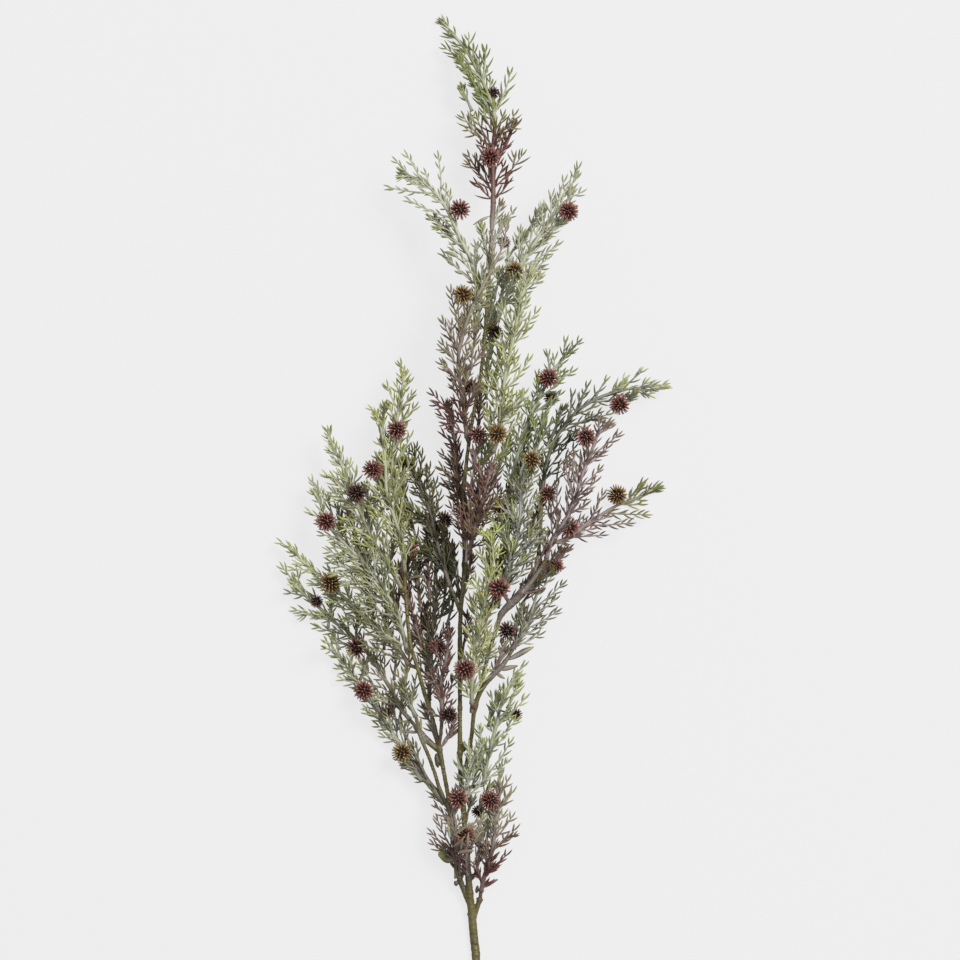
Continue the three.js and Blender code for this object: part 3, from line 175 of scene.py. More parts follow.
# A shoot's path is rows of [x, y, height], and its tips say where side twiglets end, [x, y]
SHOOTS = {
    "leader_shoot": ("olive", [
        ([[13.5, 775, 52], [13, 802, 50], [13, 830, 47], [15, 860, 41], [8, 885, 33],
          [-1, 905, 23], [-10, 923, 13], [-19, 936, 6], [-30, 950, 1.6], [-41, 962, 0]],
         [[-14, 830], [46, 830], [-20, 868], [38, 870], [-25, 920], [32, 913], [6, 936],
           [-12, 948], [-40, 936], [-33, 961], [-8, 802], [32, 802]]),
    ]),
    "upper_left_shoot": ("olive", [
        ([[1, 677, 60], [-4, 697, 64], [-9, 718, 66], [-17, 735, 67], [-25, 752, 66],
          [-37, 776, 62], [-54, 795, 56], [-68, 802, 50], [-84, 807, 46]],
         [[-54, 765], [-76, 782], [-43, 828], [-88, 822], [-76, 828], [-96, 793], [-30, 790],
           [-40, 730]]),
    ]),
    "upper_right_shoot": ("olive", [
        ([[17, 657, 58], [25, 680, 60], [32, 696, 60], [39, 712, 60], [48, 726, 59],
          [57, 740, 58], [73, 765, 56], [88, 780, 52], [93, 794, 48]],
         [[40, 755], [63, 780], [73, 790], [86, 804], [82, 738], [72, 725], [106, 790],
           [28, 730], [65, 705]]),
    ]),
    "crossing_shoot": ("plum", [
        ([[-13, 542, 64], [-17, 578, 71], [-21, 605, 75], [-21, 628, 77], [-16, 648, 78],
          [-7, 674, 79], [4, 695, 78], [13, 712, 76], [21, 728, 74], [26, 740, 71]],
         [[-51, 591], [-42, 622], [-40, 642], [-39, 665], [5, 640], [-30, 695], [28, 758],
           [32, 740], [12, 750], [2, 605], [-44, 570]]),
    ]),
    "middle_front_shoot": ("lime", [
        ([[13, 528, 68], [17, 540, 72], [22, 578, 77], [26, 610, 80], [32, 635, 81],
          [37, 660, 81], [41, 680, 80], [47, 698, 78], [53, 710, 76]],
         [[60, 672], [53, 655], [52, 625], [41, 608], [48, 592], [18, 650], [20, 680], [65, 708],
           [42, 718], [4, 608], [6, 578], [44, 568]]),
    ]),
    "inner_plum_shoot": ("plum", [
        ([[-12, 428, 60], [-8, 440, 63], [-4, 456, 65], [1, 475, 66], [8, 500, 67], [13, 518, 67]],
         [[32, 498], [25, 480], [-18, 480], [-10, 502], [-2, 518], [17, 452], [-25, 460]]),
        ([[-9, 435, 62], [-7, 447, 54], [-8, 459, 45], [-15, 473, 37], [-21, 494, 31],
          [-23, 520, 28], [-26, 544, 28], [-30, 565, 29], [-34, 580, 30]],
         [[-40, 552], [-40, 532], [-42, 518], [-40, 502], [-16, 550], [-10, 525], [-32, 480]]),
    ]),
    "right_upper_shoot": ("green", [
        ([[25, 468, 60], [28, 485, 59], [35, 515, 57], [44, 548, 56], [54, 573, 55],
          [65, 594, 53], [74, 610, 50], [83, 621, 47], [94, 632, 45]],
         [[58, 612], [43, 592], [69, 632], [87, 644], [97, 612], [85, 590], [32, 555], [61, 560],
           [24, 525]]),
        ([[29, 488, 60], [40, 496, 62], [50, 510, 63], [56, 530, 63], [61, 553, 63],
          [66, 570, 62]],
         [[40, 540], [50, 568], [76, 562], [73, 540], [76, 580]]),
    ]),
    "right_dark_shoot": ("dark", [
        ([[61, 478, 38], [65, 510, 34], [72, 534, 31], [83, 553, 29], [96, 568, 27],
          [111, 578, 26], [126, 585, 25], [142, 590, 24], [162, 592, 22], [181, 595, 20]],
         [[130, 605], [149, 606], [167, 612], [176, 582], [172, 576], [134, 568], [110, 556],
           [98, 538], [92, 522], [80, 500], [55, 540], [65, 562], [95, 592], [110, 600]]),
    ]),
    "right_mauve_shoot": ("mauve", [
        ([[66, 422, 60], [71, 439, 63], [80, 453, 65], [89, 467, 66], [96, 486, 66],
          [100, 501, 65], [107, 518, 63], [113, 534, 61], [120, 549, 58], [134, 560, 55]],
         [[123, 516], [120, 504], [112, 492], [132, 537], [142, 550], [72, 482], [78, 502],
           [85, 520], [92, 532], [102, 548], [120, 568], [60, 455], [110, 480]]),
        ([[71, 439, 60], [82, 439, 50], [96, 448, 38], [110, 459, 25], [124, 467, 12],
          [138, 475, 3.6], [154, 481, 1.5], [170, 487, 1.4], [181, 493, 1.4]],
         [[126, 492], [154, 502], [167, 502], [172, 466], [156, 458], [132, 458], [128, 446],
           [104, 474], [118, 444]]),
    ]),
    "middle_grey_shoot": ("grey", [
        ([[23, 388, 64], [26, 407, 69], [32, 424, 73], [37, 445, 76], [40, 468, 78],
          [40, 490, 79], [40, 506, 79]],
         [[22, 490], [24, 510], [58, 512], [61, 492], [65, 468], [60, 440], [20, 472], [44, 525],
           [52, 420], [68, 452]]),
        ([[30, 418, 71], [26, 435, 68], [22, 452, 66], [18, 466, 65]],
         [[10, 480], [28, 475]]),
    ]),
    "lime_front_shoot": ("lime", [
        ([[-8, 277, 55], [-8, 295, 61], [-6, 322, 68], [-2, 344, 73], [2, 366, 77], [6, 384, 80],
          [10, 406, 83], [13, 432, 85], [11, 450, 85]],
         [[-20, 332], [-14, 358], [16, 340], [20, 358], [-12, 388], [-6, 410], [-2, 435],
           [26, 414], [23, 435], [0, 455], [20, 459], [-26, 310], [10, 315], [18, 380]]),
    ]),
    "right_low_shoot": ("grey", [
        ([[33, 332, 55], [39, 342, 55], [46, 355, 54], [52, 370, 52], [56, 383, 50],
          [63, 394, 47]],
         [[81, 373], [65, 350], [60, 338], [80, 386], [86, 401], [35, 368], [42, 380], [76, 410]]),
    ]),
    "left_tall_shoot": ("lime", [
        ([[-75, 409, 50], [-76, 422, 54], [-79, 442, 57], [-87, 468, 59], [-93, 489, 59],
          [-94, 512, 58], [-96, 537, 57], [-100, 558, 55], [-105, 571, 53]],
         [[-111, 573], [-102, 580], [-106, 528], [-104, 542], [-114, 500], [-113, 480],
           [-75, 493], [-80, 514], [-65, 445], [-96, 456], [-70, 468]]),
        ([[-77, 428, 52], [-79, 448, 47], [-83, 480, 44], [-87, 508, 44], [-87, 530, 45],
          [-84, 550, 46], [-81, 572, 45], [-77, 594, 43], [-75, 612, 41]],
         [[-94, 600], [-81, 622], [-68, 618], [-66, 603], [-64, 590], [-62, 578], [-81, 609],
           [-92, 578], [-67, 550], [-68, 525]]),
    ]),
    "left_outer_upper_shoot": ("lime", [
        ([[-78, 392, 49], [-85, 405, 49], [-95, 420, 48], [-104, 435, 47], [-113, 454, 45],
          [-122, 474, 43], [-130, 495, 41], [-137, 513, 39], [-144, 529, 37], [-149, 542, 35]],
         [[-158, 510], [-156, 534], [-157, 547], [-149, 551], [-137, 535], [-129, 524],
           [-123, 516], [-152, 493], [-142, 464], [-130, 445], [-102, 472], [-94, 452]]),
    ]),
    "left_outer_middle_shoot": ("olive", [
        ([[-73, 332, 56], [-77, 348, 61], [-82, 368, 63], [-93, 386, 61], [-105, 403, 57],
          [-117, 418, 52], [-132, 434, 46], [-145, 447, 42], [-154, 462, 38], [-160, 479, 35],
          [-164, 493, 33]],
         [[-175, 472], [-171, 492], [-169, 506], [-158, 490], [-166, 460], [-163, 448],
           [-157, 432], [-156, 422], [-143, 408], [-114, 362], [-128, 382], [-108, 440],
           [-96, 424], [-92, 405], [-130, 398]]),
    ]),
    "inner_left_dark_shoot": ("dark", [
        ([[-30, 394, 40], [-36, 413, 35], [-42, 434, 31], [-46, 452, 29], [-52, 475, 27],
          [-58, 491, 26], [-65, 506, 25], [-71, 520, 24]],
         [[-76, 480], [-67, 472], [-75, 453], [-77, 536], [-63, 540], [-58, 533], [-50, 519],
           [-43, 504], [-39, 492], [-84, 492], [-28, 440], [-62, 435]]),
    ]),
    "left_outer_lower_shoot": ("lime", [
        ([[-71, 316, 36], [-80, 330, 32], [-95, 345, 29], [-112, 360, 27], [-128, 375, 26],
          [-140, 387, 25], [-151, 398, 24], [-160, 405, 23], [-172, 414, 22], [-182, 424, 20],
          [-192, 432, 18]],
         [[-204, 442], [-200, 432], [-194, 413], [-174, 400], [-194, 440], [-185, 436],
           [-174, 427], [-155, 382], [-142, 362], [-122, 340], [-135, 400], [-120, 390],
           [-154, 418], [-100, 368]]),
    ]),
    "left_floor_shoot": ("olive", [
        ([[-70, 261, 27], [-80, 273, 22], [-87, 288, 16], [-94, 299, 11], [-103, 314, 6],
          [-113, 329, 1.7], [-124, 340, 1.3], [-134, 350, 1.9], [-147, 359, 5], [-159, 371, 8],
          [-171, 381, 10], [-182, 393, 12], [-191, 405, 14]],
         [[-197, 390], [-191, 373], [-170, 356], [-201, 418], [-177, 400], [-168, 392],
           [-154, 338], [-108, 290], [-104, 340], [-96, 325], [-136, 368], [-184, 412]]),
    ]),
    "left_bottom_shoot": ("olive", [
        ([[-71, 226, 15], [-77, 233, 14], [-84, 242, 13], [-92, 254, 13], [-99, 267, 13],
          [-106, 278, 13], [-115, 289, 13], [-124, 299, 12], [-132, 311, 11], [-139, 324, 10]],
         [[-102, 247], [-108, 258], [-118, 272], [-129, 280], [-144, 304], [-147, 316],
           [-151, 329], [-157, 345], [-80, 265], [-88, 238], [-130, 332], [-98, 290]]),
    ]),
    "inner_left_plum_shoot": ("plum", [
        ([[-38, 260, 47], [-38, 275, 51], [-39, 292, 52], [-37, 309, 51], [-33, 326, 49],
          [-31, 342, 46], [-30, 355, 43]],
         [[-56, 275], [-52, 258], [-24, 282], [-24, 308], [-25, 328], [-26, 348], [-50, 312],
           [-46, 340]]),
    ]),
    "inner_back_dark_shoot": ("dark", [
        ([[-51, 280, 32], [-50, 298, 28], [-49, 320, 25], [-48, 342, 24], [-46, 366, 23],
          [-43, 388, 23], [-43, 404, 23]],
         [[-64, 325], [-66, 355], [-60, 380], [-55, 405], [-32, 358], [-30, 380], [-33, 405],
           [-44, 424], [-35, 330]]),
    ]),
    "left_small_shoot": ("green", [
        ([[-64, 264, 40], [-69, 275, 43], [-75, 289, 45], [-79, 302, 45]],
         [[-84, 312], [-76, 316], [-67, 296], [-64, 308], [-88, 300]]),
    ]),
    "right_bottom_shoot": ("green", [
        ([[4, 197, 45], [5, 210, 47], [8, 224, 48], [12, 240, 49], [17, 258, 49], [20, 273, 48],
          [25, 287, 45], [31, 299, 42], [38, 311, 39]],
         [[49, 320], [49, 288], [40, 266], [9, 292], [8, 268], [33, 245], [34, 280], [46, 308],
           [23, 298], [-2, 256], [31, 223], [-10, 238]]),
    ]),
    "pale_small_shoot": ("pale", [
        ([[-15, 180, 38], [-13, 194, 43], [-11, 209, 47], [-6, 221, 50], [0, 232, 52],
          [2, 244, 52]],
         [[-24, 224], [-23, 208], [-12, 242], [0, 258], [10, 212], [8, 198]]),
    ]),
    "bottom_right_shoot": ("plum", [
        ([[1, 89, 15], [4, 103, 21], [9, 119, 27], [13, 134, 31], [15, 154, 33], [18, 170, 33],
          [19, 188, 31], [19, 203, 29], [22, 215, 27]],
         [[39, 157], [31, 131], [14, 102], [35, 170], [36, 195], [31, 207], [26, 220], [-3, 113],
           [-6, 124], [2, 144], [20, 123], [4, 185]]),
    ]),
    "bottom_left_shoot": ("plum", [
        ([[-23, 118, 19], [-27, 127, 22], [-33, 133, 23], [-41, 139, 22]],
         [[-53, 152], [-52, 142], [-46, 134], [-34, 114]]),
        ([[-25, 123, 21], [-24, 138, 28], [-26, 152, 31], [-32, 165, 30]],
         [[-47, 180], [-45, 168], [-39, 159], [-18, 168]]),
        ([[-25, 128, 24], [-20, 138, 31], [-15, 149, 35], [-7, 158, 37]],
         [[8, 168], [-2, 142], [6, 156], [-6, 130]]),
    ]),
}

LINE_STEPS = 6
SPUR_LENGTH = 6.0
SPUR_RADIUS = 1.9
SEAT_GAP = 0.35
BARK_SIDES = 12
BARK_RING_SPACING = 2.2
BARK_VOXEL = 0.75 * MM
BARK_RELIEF = 0.26
BUD_LEAN = 0.12
BUD_RISE = 0.1
BUD_LEFT_SIDE = -20
RANDOM_MODULUS = 2147483647
RANDOM_FACTOR = 16807
SEED_FACTOR = 7919
SEED_OFFSET = 104729

# Swellings of the wood: [x, y, height, half length, half width], buds and knobs beside it
BARK_BUDS = {
    "olive_bud": [-16, 234, 36.5, 5.5, 2.6],
    "plum_bud": [-43, 220, 29, 7.5, 2.5],
    "dark_knob": [-7, 104, 15, 3.2, 2.2],
    "olive_knob": [-24, 97, 11, 3.0, 2.2],
    "beige_bud": [-3, 91, 12, 4.2, 1.9],
    "fork_knob": [22, 340, 54, 3.4, 2.6],
    "upper_knob": [41, 388, 55, 3.6, 2.9],
    "high_strand": [-16, 116, 16, 15, 1.9],
    "left_nub": [-11.8, 66, 7.5, 1.7, 1.1],
    "low_nub": [-11.6, 73, 9, 1.5, 1.0],
    "right_nub": [-2.4, 34, 4.5, 1.5, 1.0],
}
# Collars round a fork: [fork, y, extra radius, half width]
BARK_COLLARS = [
    ["main", 273, 0.7, 1.6], ["main", 228, 0.9, 1.4], ["main", 416, 0.9, 3.0],
    ["main", 26, 0.35, 1.2], ["main", 31, 0.3, 1.0], ["main", 88, 0.5, 2.0],
    ["main", 338, 0.4, 1.5], ["main", 173, 0.5, 1.6], ["main", 131, 0.5, 1.8],
    ["far_right_fork", 381, 2.0, 13.0], ["right_fork", 306, 0.8, 16.0],
    ["grey_left_fork", 243, 1.1, 14.0],
    ["left_fork", 231, 0.9, 1.5], ["left_fork", 160, 0.4, 1.4], ["left_fork", 335, 0.5, 2.0],
    ["right_fork", 274, 0.8, 5.0], ["right_fork", 232, 0.5, 1.5],
    ["far_right_fork", 366, 0.7, 2.2], ["far_right_fork", 388, 0.8, 2.4],
    ["side_fork", 84, 1.4, 4.5], ["main", 60, 0.5, 60.0], ["left_fork", 108, 0.4, 26.0],
]


def random_stream(seed):
    """Random numbers that come out the same every time."""
    state = (seed * SEED_FACTOR + SEED_OFFSET) % RANDOM_MODULUS
    while True:
        state = state * RANDOM_FACTOR % RANDOM_MODULUS
        yield state / RANDOM_MODULUS


def between(draw, low, high):
    return low + (high - low) * next(draw)


class Line:
    """A smooth line with its running length."""

    def __init__(self, points):
        self.points = points
        self.lengths = [0.0]
        for before, after in zip(points, points[1:]):
            self.lengths.append(self.lengths[-1] + (after - before).length)
        self.total = self.lengths[-1]

    @classmethod
    def through(cls, path):
        knots = [Vector(row[:3]) for row in path]
        knots = [2 * knots[0] - knots[1], *knots, 2 * knots[-1] - knots[-2]]
        points = []
        for a, b, c, d in zip(knots, knots[1:], knots[2:], knots[3:]):
            for step in range(LINE_STEPS):
                t = step / LINE_STEPS
                leave = 0.5 * (c - a)
                arrive = 0.5 * (d - b)
                points.append(b + leave * t + (3 * (c - b) - 2 * leave - arrive) * t ** 2
                              + (2 * (b - c) + leave + arrive) * t ** 3)
        points.append(knots[-2])
        return cls(points)

    def at(self, distance):
        s = min(max(distance, 0.0), self.total)
        i = 1
        while i < len(self.points) - 1 and self.lengths[i] < s:
            i += 1
        span = self.lengths[i] - self.lengths[i - 1]
        return self.points[i - 1].lerp(self.points[i], (s - self.lengths[i - 1]) / span)

    def direction(self, distance):
        return (self.at(distance + 1) - self.at(distance - 1)).normalized()

    def spaced(self, spacing, end_length=0.0):
        """Points along the line, and how far along it they lie, up to a length from its end."""
        usable = self.total - end_length
        count = max(round(usable / spacing), 1)
        return [self.at(usable * i / count) for i in range(count + 1)], np.linspace(
            0.0, usable, count + 1)

    def widths_at(self, places, path):
        """The radii of a path's rows, spread over places along the line."""
        knot_lengths = [self.lengths[LINE_STEPS * i] for i in range(len(path))]
        return np.interp(places, knot_lengths, [row[3] for row in path])


class Gathering:
    """Points, faces and growth notes of one piece, gathered before its mesh is made."""

    NOTES = ("upshoot", "outward", "needle", "chance")

    def __init__(self):
        self.points = []
        self.quads = []
        self.triangles = []
        self.notes = []
        self.smooth_quads = []
        self.smooth_triangles = []
        self.count = 0

    def add(self, points, quads, triangles, notes, smooth=True):
        points = np.asarray(points, float).reshape(-1, 3)
        self.points.append(points)
        self.quads.append(np.asarray(quads, int).reshape(-1, 4) + self.count)
        self.triangles.append(np.asarray(triangles, int).reshape(-1, 3) + self.count)
        self.smooth_quads.append(np.full(len(self.quads[-1]), smooth))
        self.smooth_triangles.append(np.full(len(self.triangles[-1]), smooth))
        self.notes.append(np.broadcast_to(notes, (len(points), len(self.NOTES))))
        self.count += len(points)

    def made(self, name):
        """The piece as an object that lies nowhere below the floor."""
        points = np.concatenate(self.points)
        points[:, 2] = np.maximum(points[:, 2], 0.0)
        quads = np.concatenate(self.quads)
        triangles = np.concatenate(self.triangles)
        data = bpy.data.meshes.new(name)
        data.vertices.add(len(points))
        data.vertices.foreach_set("co", in_frame(points).ravel())
        data.loops.add(4 * len(quads) + 3 * len(triangles))
        data.loops.foreach_set("vertex_index", np.concatenate([quads.ravel(), triangles.ravel()]))
        starts = np.concatenate([4 * np.arange(len(quads)),
                                 4 * len(quads) + 3 * np.arange(len(triangles))])
        data.polygons.add(len(starts))
        data.polygons.foreach_set("loop_start", starts)
        notes = np.concatenate(self.notes)
        for column, note in enumerate(self.NOTES):
            layer = data.attributes.new(note, "FLOAT", "POINT")
            layer.data.foreach_set("value", np.ascontiguousarray(notes[:, column]))
        data.polygons.foreach_set("use_smooth", np.concatenate([*self.smooth_quads,
                                                                *self.smooth_triangles]))
        data.update()
        data.validate()
        piece = bpy.data.objects.new(name, data)
        scene.collection.objects.link(piece)
        return piece


def frames_along(centres):
    """Directions that follow a line without twisting: forward, across and the third one."""
    steepest = 0.9
    across = None
    frames = []
    for i, _ in enumerate(centres):
        forward = (centres[min(i + 1, len(centres) - 1)] - centres[max(i - 1, 0)]).normalized()
        if across is None:
            across = Vector((1, 0, 0)) if abs(forward.z) > steepest else Vector((0, 0, 1))
        across = (across - forward * across.dot(forward)).normalized()
        frames.append((forward, across, forward.cross(across)))
    return frames


def tube_faces(rings, sides):
    """Four-sided faces between rings of corners, for a tube that turns to the right."""
    ring, side = np.meshgrid(np.arange(rings - 1), np.arange(sides), indexing="ij")
    low = (ring * sides + side).ravel()
    low_next = (ring * sides + (side + 1) % sides).ravel()
    return np.stack([low, low_next, low_next + sides, low + sides], axis=1)


def fan_faces(first, sides, middle, backward=False):
    """Three-sided faces between a ring of corners and one corner in its middle."""
    around = np.arange(sides)
    here = first + around
    ahead = first + (around + 1) % sides
    pair = [ahead, here] if backward else [here, ahead]
    return np.stack([*pair, np.full(sides, middle)], axis=1)


def add_rod(gathering, centres, radii, sides, notes, tip=None):
    """A closed round rod along a line, with a flat root and a flat or pointed end."""
    frames = frames_along(centres)
    angles = 2 * np.pi * np.arange(sides) / sides
    across = np.array([frame[1] for frame in frames])[:, None, :]
    third = np.array([frame[2] for frame in frames])[:, None, :]
    radii = np.broadcast_to(np.asarray(radii, float).reshape(len(centres), -1),
                            (len(centres), sides))[:, :, None]
    rings = np.array(centres)[:, None, :] + radii * (
        across * np.cos(angles)[None, :, None] + third * np.sin(angles)[None, :, None])
    points = np.vstack([rings.reshape(-1, 3), np.array(centres[0])[None, :],
                        np.array(centres[-1] if tip is None else tip)[None, :]])
    fans = np.vstack([fan_faces(0, sides, len(points) - 2, backward=True),
                      fan_faces((len(centres) - 1) * sides, sides, len(points) - 1)])
    notes = np.asarray(notes, float)
    if notes.ndim == 2:
        notes = np.vstack([np.repeat(notes, sides, axis=0), notes[:1], notes[-1:]])
    gathering.add(points, tube_faces(len(centres), sides), fans, notes)


def add_ball(gathering, centre, half_sizes, turn, notes):
    """A closed egg shape with its long way along the turn's x."""
    rings = 8
    sides = 12
    theta = np.pi * np.arange(1, rings) / rings
    phi = 2 * np.pi * np.arange(sides) / sides
    shape = np.stack([np.repeat(np.cos(theta), sides),
                      np.outer(np.sin(theta), np.cos(phi)).ravel(),
                      np.outer(np.sin(theta), np.sin(phi)).ravel()], axis=1)
    shape = np.vstack([shape, [[1, 0, 0], [-1, 0, 0]]]) * np.asarray(half_sizes)
    points = shape @ np.array(turn.to_matrix()).T + np.array(centre)
    fans = np.vstack([fan_faces(0, sides, len(points) - 2),
                      fan_faces((rings - 2) * sides, sides, len(points) - 1, backward=True)])
    gathering.add(points, tube_faces(rings - 1, sides)[:, [0, 3, 2, 1]], fans, notes)


wood = {name: [Vector(row[:3]) for row in path] for name, path in STEM_FORKS.items()}
shoot_lines = {name: [Line.through(path) for path, _ in axes]
               for name, (_, axes) in SHOOTS.items()}


def nearest_wood(point):
    best = None
    nearest = math.inf
    for points in wood.values():
        for a, b in zip(points, points[1:]):
            share = min(max((point - a).dot(b - a) / (b - a).length_squared, 0.0), 1.0)
            candidate = a.lerp(b, share)
            if (candidate - point).length < nearest:
                nearest = (candidate - point).length
                best = candidate
    return best


spurs = {}
for name, lines in shoot_lines.items():
    start = lines[0].points[0]
    forward = lines[0].direction(1)
    spurs[name] = (nearest_wood(start - forward * SPUR_LENGTH), start - forward * SEAT_GAP)

bark = Gathering()
BARK_NOTES = (0.0, 0.0, 0.0, 0.5)
for name, path in STEM_FORKS.items():
    line = Line.through(path)
    centres, places = line.spaced(BARK_RING_SPACING)
    radii = line.widths_at(places, path)
    for fork, y, extra, half_width in BARK_COLLARS:
        if fork == name:
            radii = radii + extra * np.exp(
                -((np.array([centre.y for centre in centres]) - y) / half_width) ** 2)
    add_rod(bark, centres, radii, BARK_SIDES, BARK_NOTES)
for root, end in spurs.values():
    add_rod(bark, [root, root.lerp(end, 0.5), end], [SPUR_RADIUS] * 3, BARK_SIDES, BARK_NOTES)
for x, y, z, half_length, half_width in BARK_BUDS.values():
    lean = BUD_LEAN if x > BUD_LEFT_SIDE else -BUD_LEAN
    turn = Vector((lean, 1.0, BUD_RISE)).to_track_quat("X", "Z")
    add_ball(bark, Vector((x, y, z)), (half_length, half_width, half_width), turn, BARK_NOTES)
stem = bark.made("stem_bark")

# The forks are melted together, then the skin gets fine ridges and scars: three uneven waves
RIDGE_HEIGHTS = (1.0, 0.7, 0.8)
fuse = stem.modifiers.new("fused", "REMESH")
fuse.mode = "VOXEL"
fuse.voxel_size = BARK_VOXEL
fused = bpy.data.meshes.new_from_object(stem.evaluated_get(bpy.context.evaluated_depsgraph_get()))
stem.modifiers.clear()
stem.data = fused


def corner_rows(data, what):
    """One vector of each vertex of a mesh, such as its place, as rows."""
    rows = np.zeros(3 * len(data.vertices))
    data.vertices.foreach_get(what, rows)
    return rows.reshape(-1, 3)


skin = corner_rows(fused, "co")
across_stem, up_stem, height = (skin / MM).T
waves = (np.sin(0.9 * up_stem + 2.3 * np.sin(0.07 * up_stem + across_stem)),
         np.sin(2.1 * up_stem + 1.7 * across_stem + 0.8 * height),
         np.sin(0.31 * up_stem - 1.3 * height + 0.9 * across_stem))
ridges = sum(share * wave for share, wave in zip(RIDGE_HEIGHTS, waves)) / sum(RIDGE_HEIGHTS)
skin = skin + corner_rows(fused, "normal") * (BARK_RELIEF * MM * ridges)[:, None]
skin[:, 2] = np.maximum(skin[:, 2], 0.0)
fused.vertices.foreach_set("co", skin.ravel())
fused.polygons.foreach_set("use_smooth", np.ones(len(fused.polygons), bool))
fused.update()

# Colours of the bark, and where it is grey with frosting, plum or in shade: the nearer to a row
# of [x, y, height, reach, strength] a point lies, the more it is so
BARK_OLIVE = "#625b2f"
BARK_TAN = "#6c6140"
BARK_BROWN = "#3a3020"
BARK_GREY = "#8b8682"
BARK_PLUM = "#5e4440"
BARK_FLECK = "#968b68"
BARK_SHADE = "#2f2a1c"
BARK_GRAIN = 0.9
BARK_ROUGHNESS = (0.3, 0.5)
GREY_STRETCHES = [[-61, 246, 29, 16, 0.9], [-23, 112, 13, 8, 0.5], [30, 370, 54, 26, 0.75],
                  [50, 400, 56, 24, 0.8], [15, 306, 53, 14, 0.35], [-62, 205, 16, 14, 0.5],
                  [-40, 190, 22, 10, 0.3], [-24, 385, 45, 14, 0.5],
                  [11, 756, 53, 22, 0.7], [18, 310, 53, 18, 0.8]]
PLUM_STRETCHES = [[11, 760, 53, 20, 1.0], [-8, 274, 45, 8, 1.0], [0, 86, 12, 6, 0.9],
                  [-15, 420, 52, 9, 0.55], [34, 378, 55, 20, 0.9], [16, 306, 53, 16, 0.5],
                  [-41, 243, 38, 7, 0.9], [0, 465, 56, 14, 0.5]]
SHADE_STRETCHES = [[-7, 104, 15, 4, 1.0], [-16, 98, 13, 9, 0.8], [-16, 118, 16, 9, 0.9],
                   [-43, 220, 29, 7, 0.9], [14, 300, 52, 16, 0.6],
                   [-20, 415, 50, 30, 0.8], [32, 378, 54, 18, 0.45], [-44, 225, 32, 8, 0.5],
                   [-15, 478, 52, 22, 0.5], [57, 425, 50, 24, 0.5]]


def linear(colour):
    """A colour written as #rrggbb, as the shader's linear one."""
    shares = [int(colour[i:i + 2], 16) / 255 for i in (1, 3, 5)]
    return (*[((share + 0.055) / 1.055) ** 2.4 for share in shares], 1.0)


def stretch_note(data, name, stretches):
    """Writes how near each vertex lies to any of the stretches."""
    places = (corner_rows(data, "co") - ORIGIN) / MM
    note = np.zeros(len(places))
    for x, y, z, reach, strength in stretches:
        distance = np.linalg.norm(places - (x, y, z), axis=1)
        note = np.maximum(note, strength * np.clip(1.5 - distance / reach, 0.0, 1.0))
    layer = data.attributes.new(name, "FLOAT", "POINT")
    layer.data.foreach_set("value", note)


stretch_note(stem.data, "grey", GREY_STRETCHES)
stretch_note(stem.data, "plum", PLUM_STRETCHES)
stretch_note(stem.data, "shade", SHADE_STRETCHES)


class Tree:
    """Short calls for laying out one node tree."""

    def __init__(self, tree):
        self.tree = tree

    def node(self, kind, values=None, **settings):
        """A node with its settings, and its sockets fed with values or with other sockets."""
        node = self.tree.nodes.new(kind)
        for setting, value in settings.items():
            setattr(node, setting, value)
        for key, value in (values or {}).items():
            if isinstance(value, bpy.types.NodeSocket):
                self.link(value, node.inputs[key])
            else:
                node.inputs[key].default_value = value
        return node

    def link(self, value, socket):
        self.tree.links.new(value, socket)

    def mix(self, share, first, second):
        """A colour between two colours."""
        return self.node("ShaderNodeMix", {0: share, 6: first, 7: second},
                         data_type="RGBA").outputs[2]

    def maths(self, operation, *values, clamp=False):
        return self.node("ShaderNodeMath", dict(enumerate(values)), operation=operation,
                         use_clamp=clamp).outputs[0]

    def plus(self, first, second):
        return self.maths("ADD", first, second)

    def minus(self, first, second):
        return self.maths("SUBTRACT", first, second)

    def times(self, first, second, clamp=False):
        return self.maths("MULTIPLY", first, second, clamp=clamp)

    def weighed(self, *parts):
        """The sum of values, each times its own share."""
        total = self.times(*parts[0])
        for value, share in parts[1:]:
            total = self.plus(total, self.times(value, share))
        return total

    def between(self, value, low, high, to_low=0.0, to_high=1.0):
        return self.node("ShaderNodeMapRange", {
            "Value": value, "From Min": low, "From Max": high, "To Min": to_low,
            "To Max": to_high}, interpolation_type="SMOOTHSTEP").outputs[0]

    def note(self, name):
        return self.node("ShaderNodeAttribute", attribute_name=name).outputs["Fac"]

    def place(self):
        return self.node("ShaderNodeTexCoord").outputs["Object"]

    def noise(self, scale, detail=3.0, stretch=(1.0, 1.0, 1.0)):
        scaled = self.node("ShaderNodeMapping", {"Vector": self.place(), "Scale": stretch})
        return self.node("ShaderNodeTexNoise", {"Vector": scaled.outputs[0], "Scale": scale,
                                                "Detail": detail}).outputs["Fac"]


def effect_group(name, inputs, outputs):
    """An empty node group with named sockets, and the short calls for filling it."""
    group = bpy.data.node_groups.new(name, "ShaderNodeTree")
    for label, kind in inputs:
        group.interface.new_socket(label, in_out="INPUT", socket_type=f"NodeSocket{kind}")
    for label, kind in outputs:
        group.interface.new_socket(label, in_out="OUTPUT", socket_type=f"NodeSocket{kind}")
    tree = Tree(group)
    source = tree.node("NodeGroupInput")
    result = tree.node("NodeGroupOutput")
    return group, tree, source.outputs, result.inputs


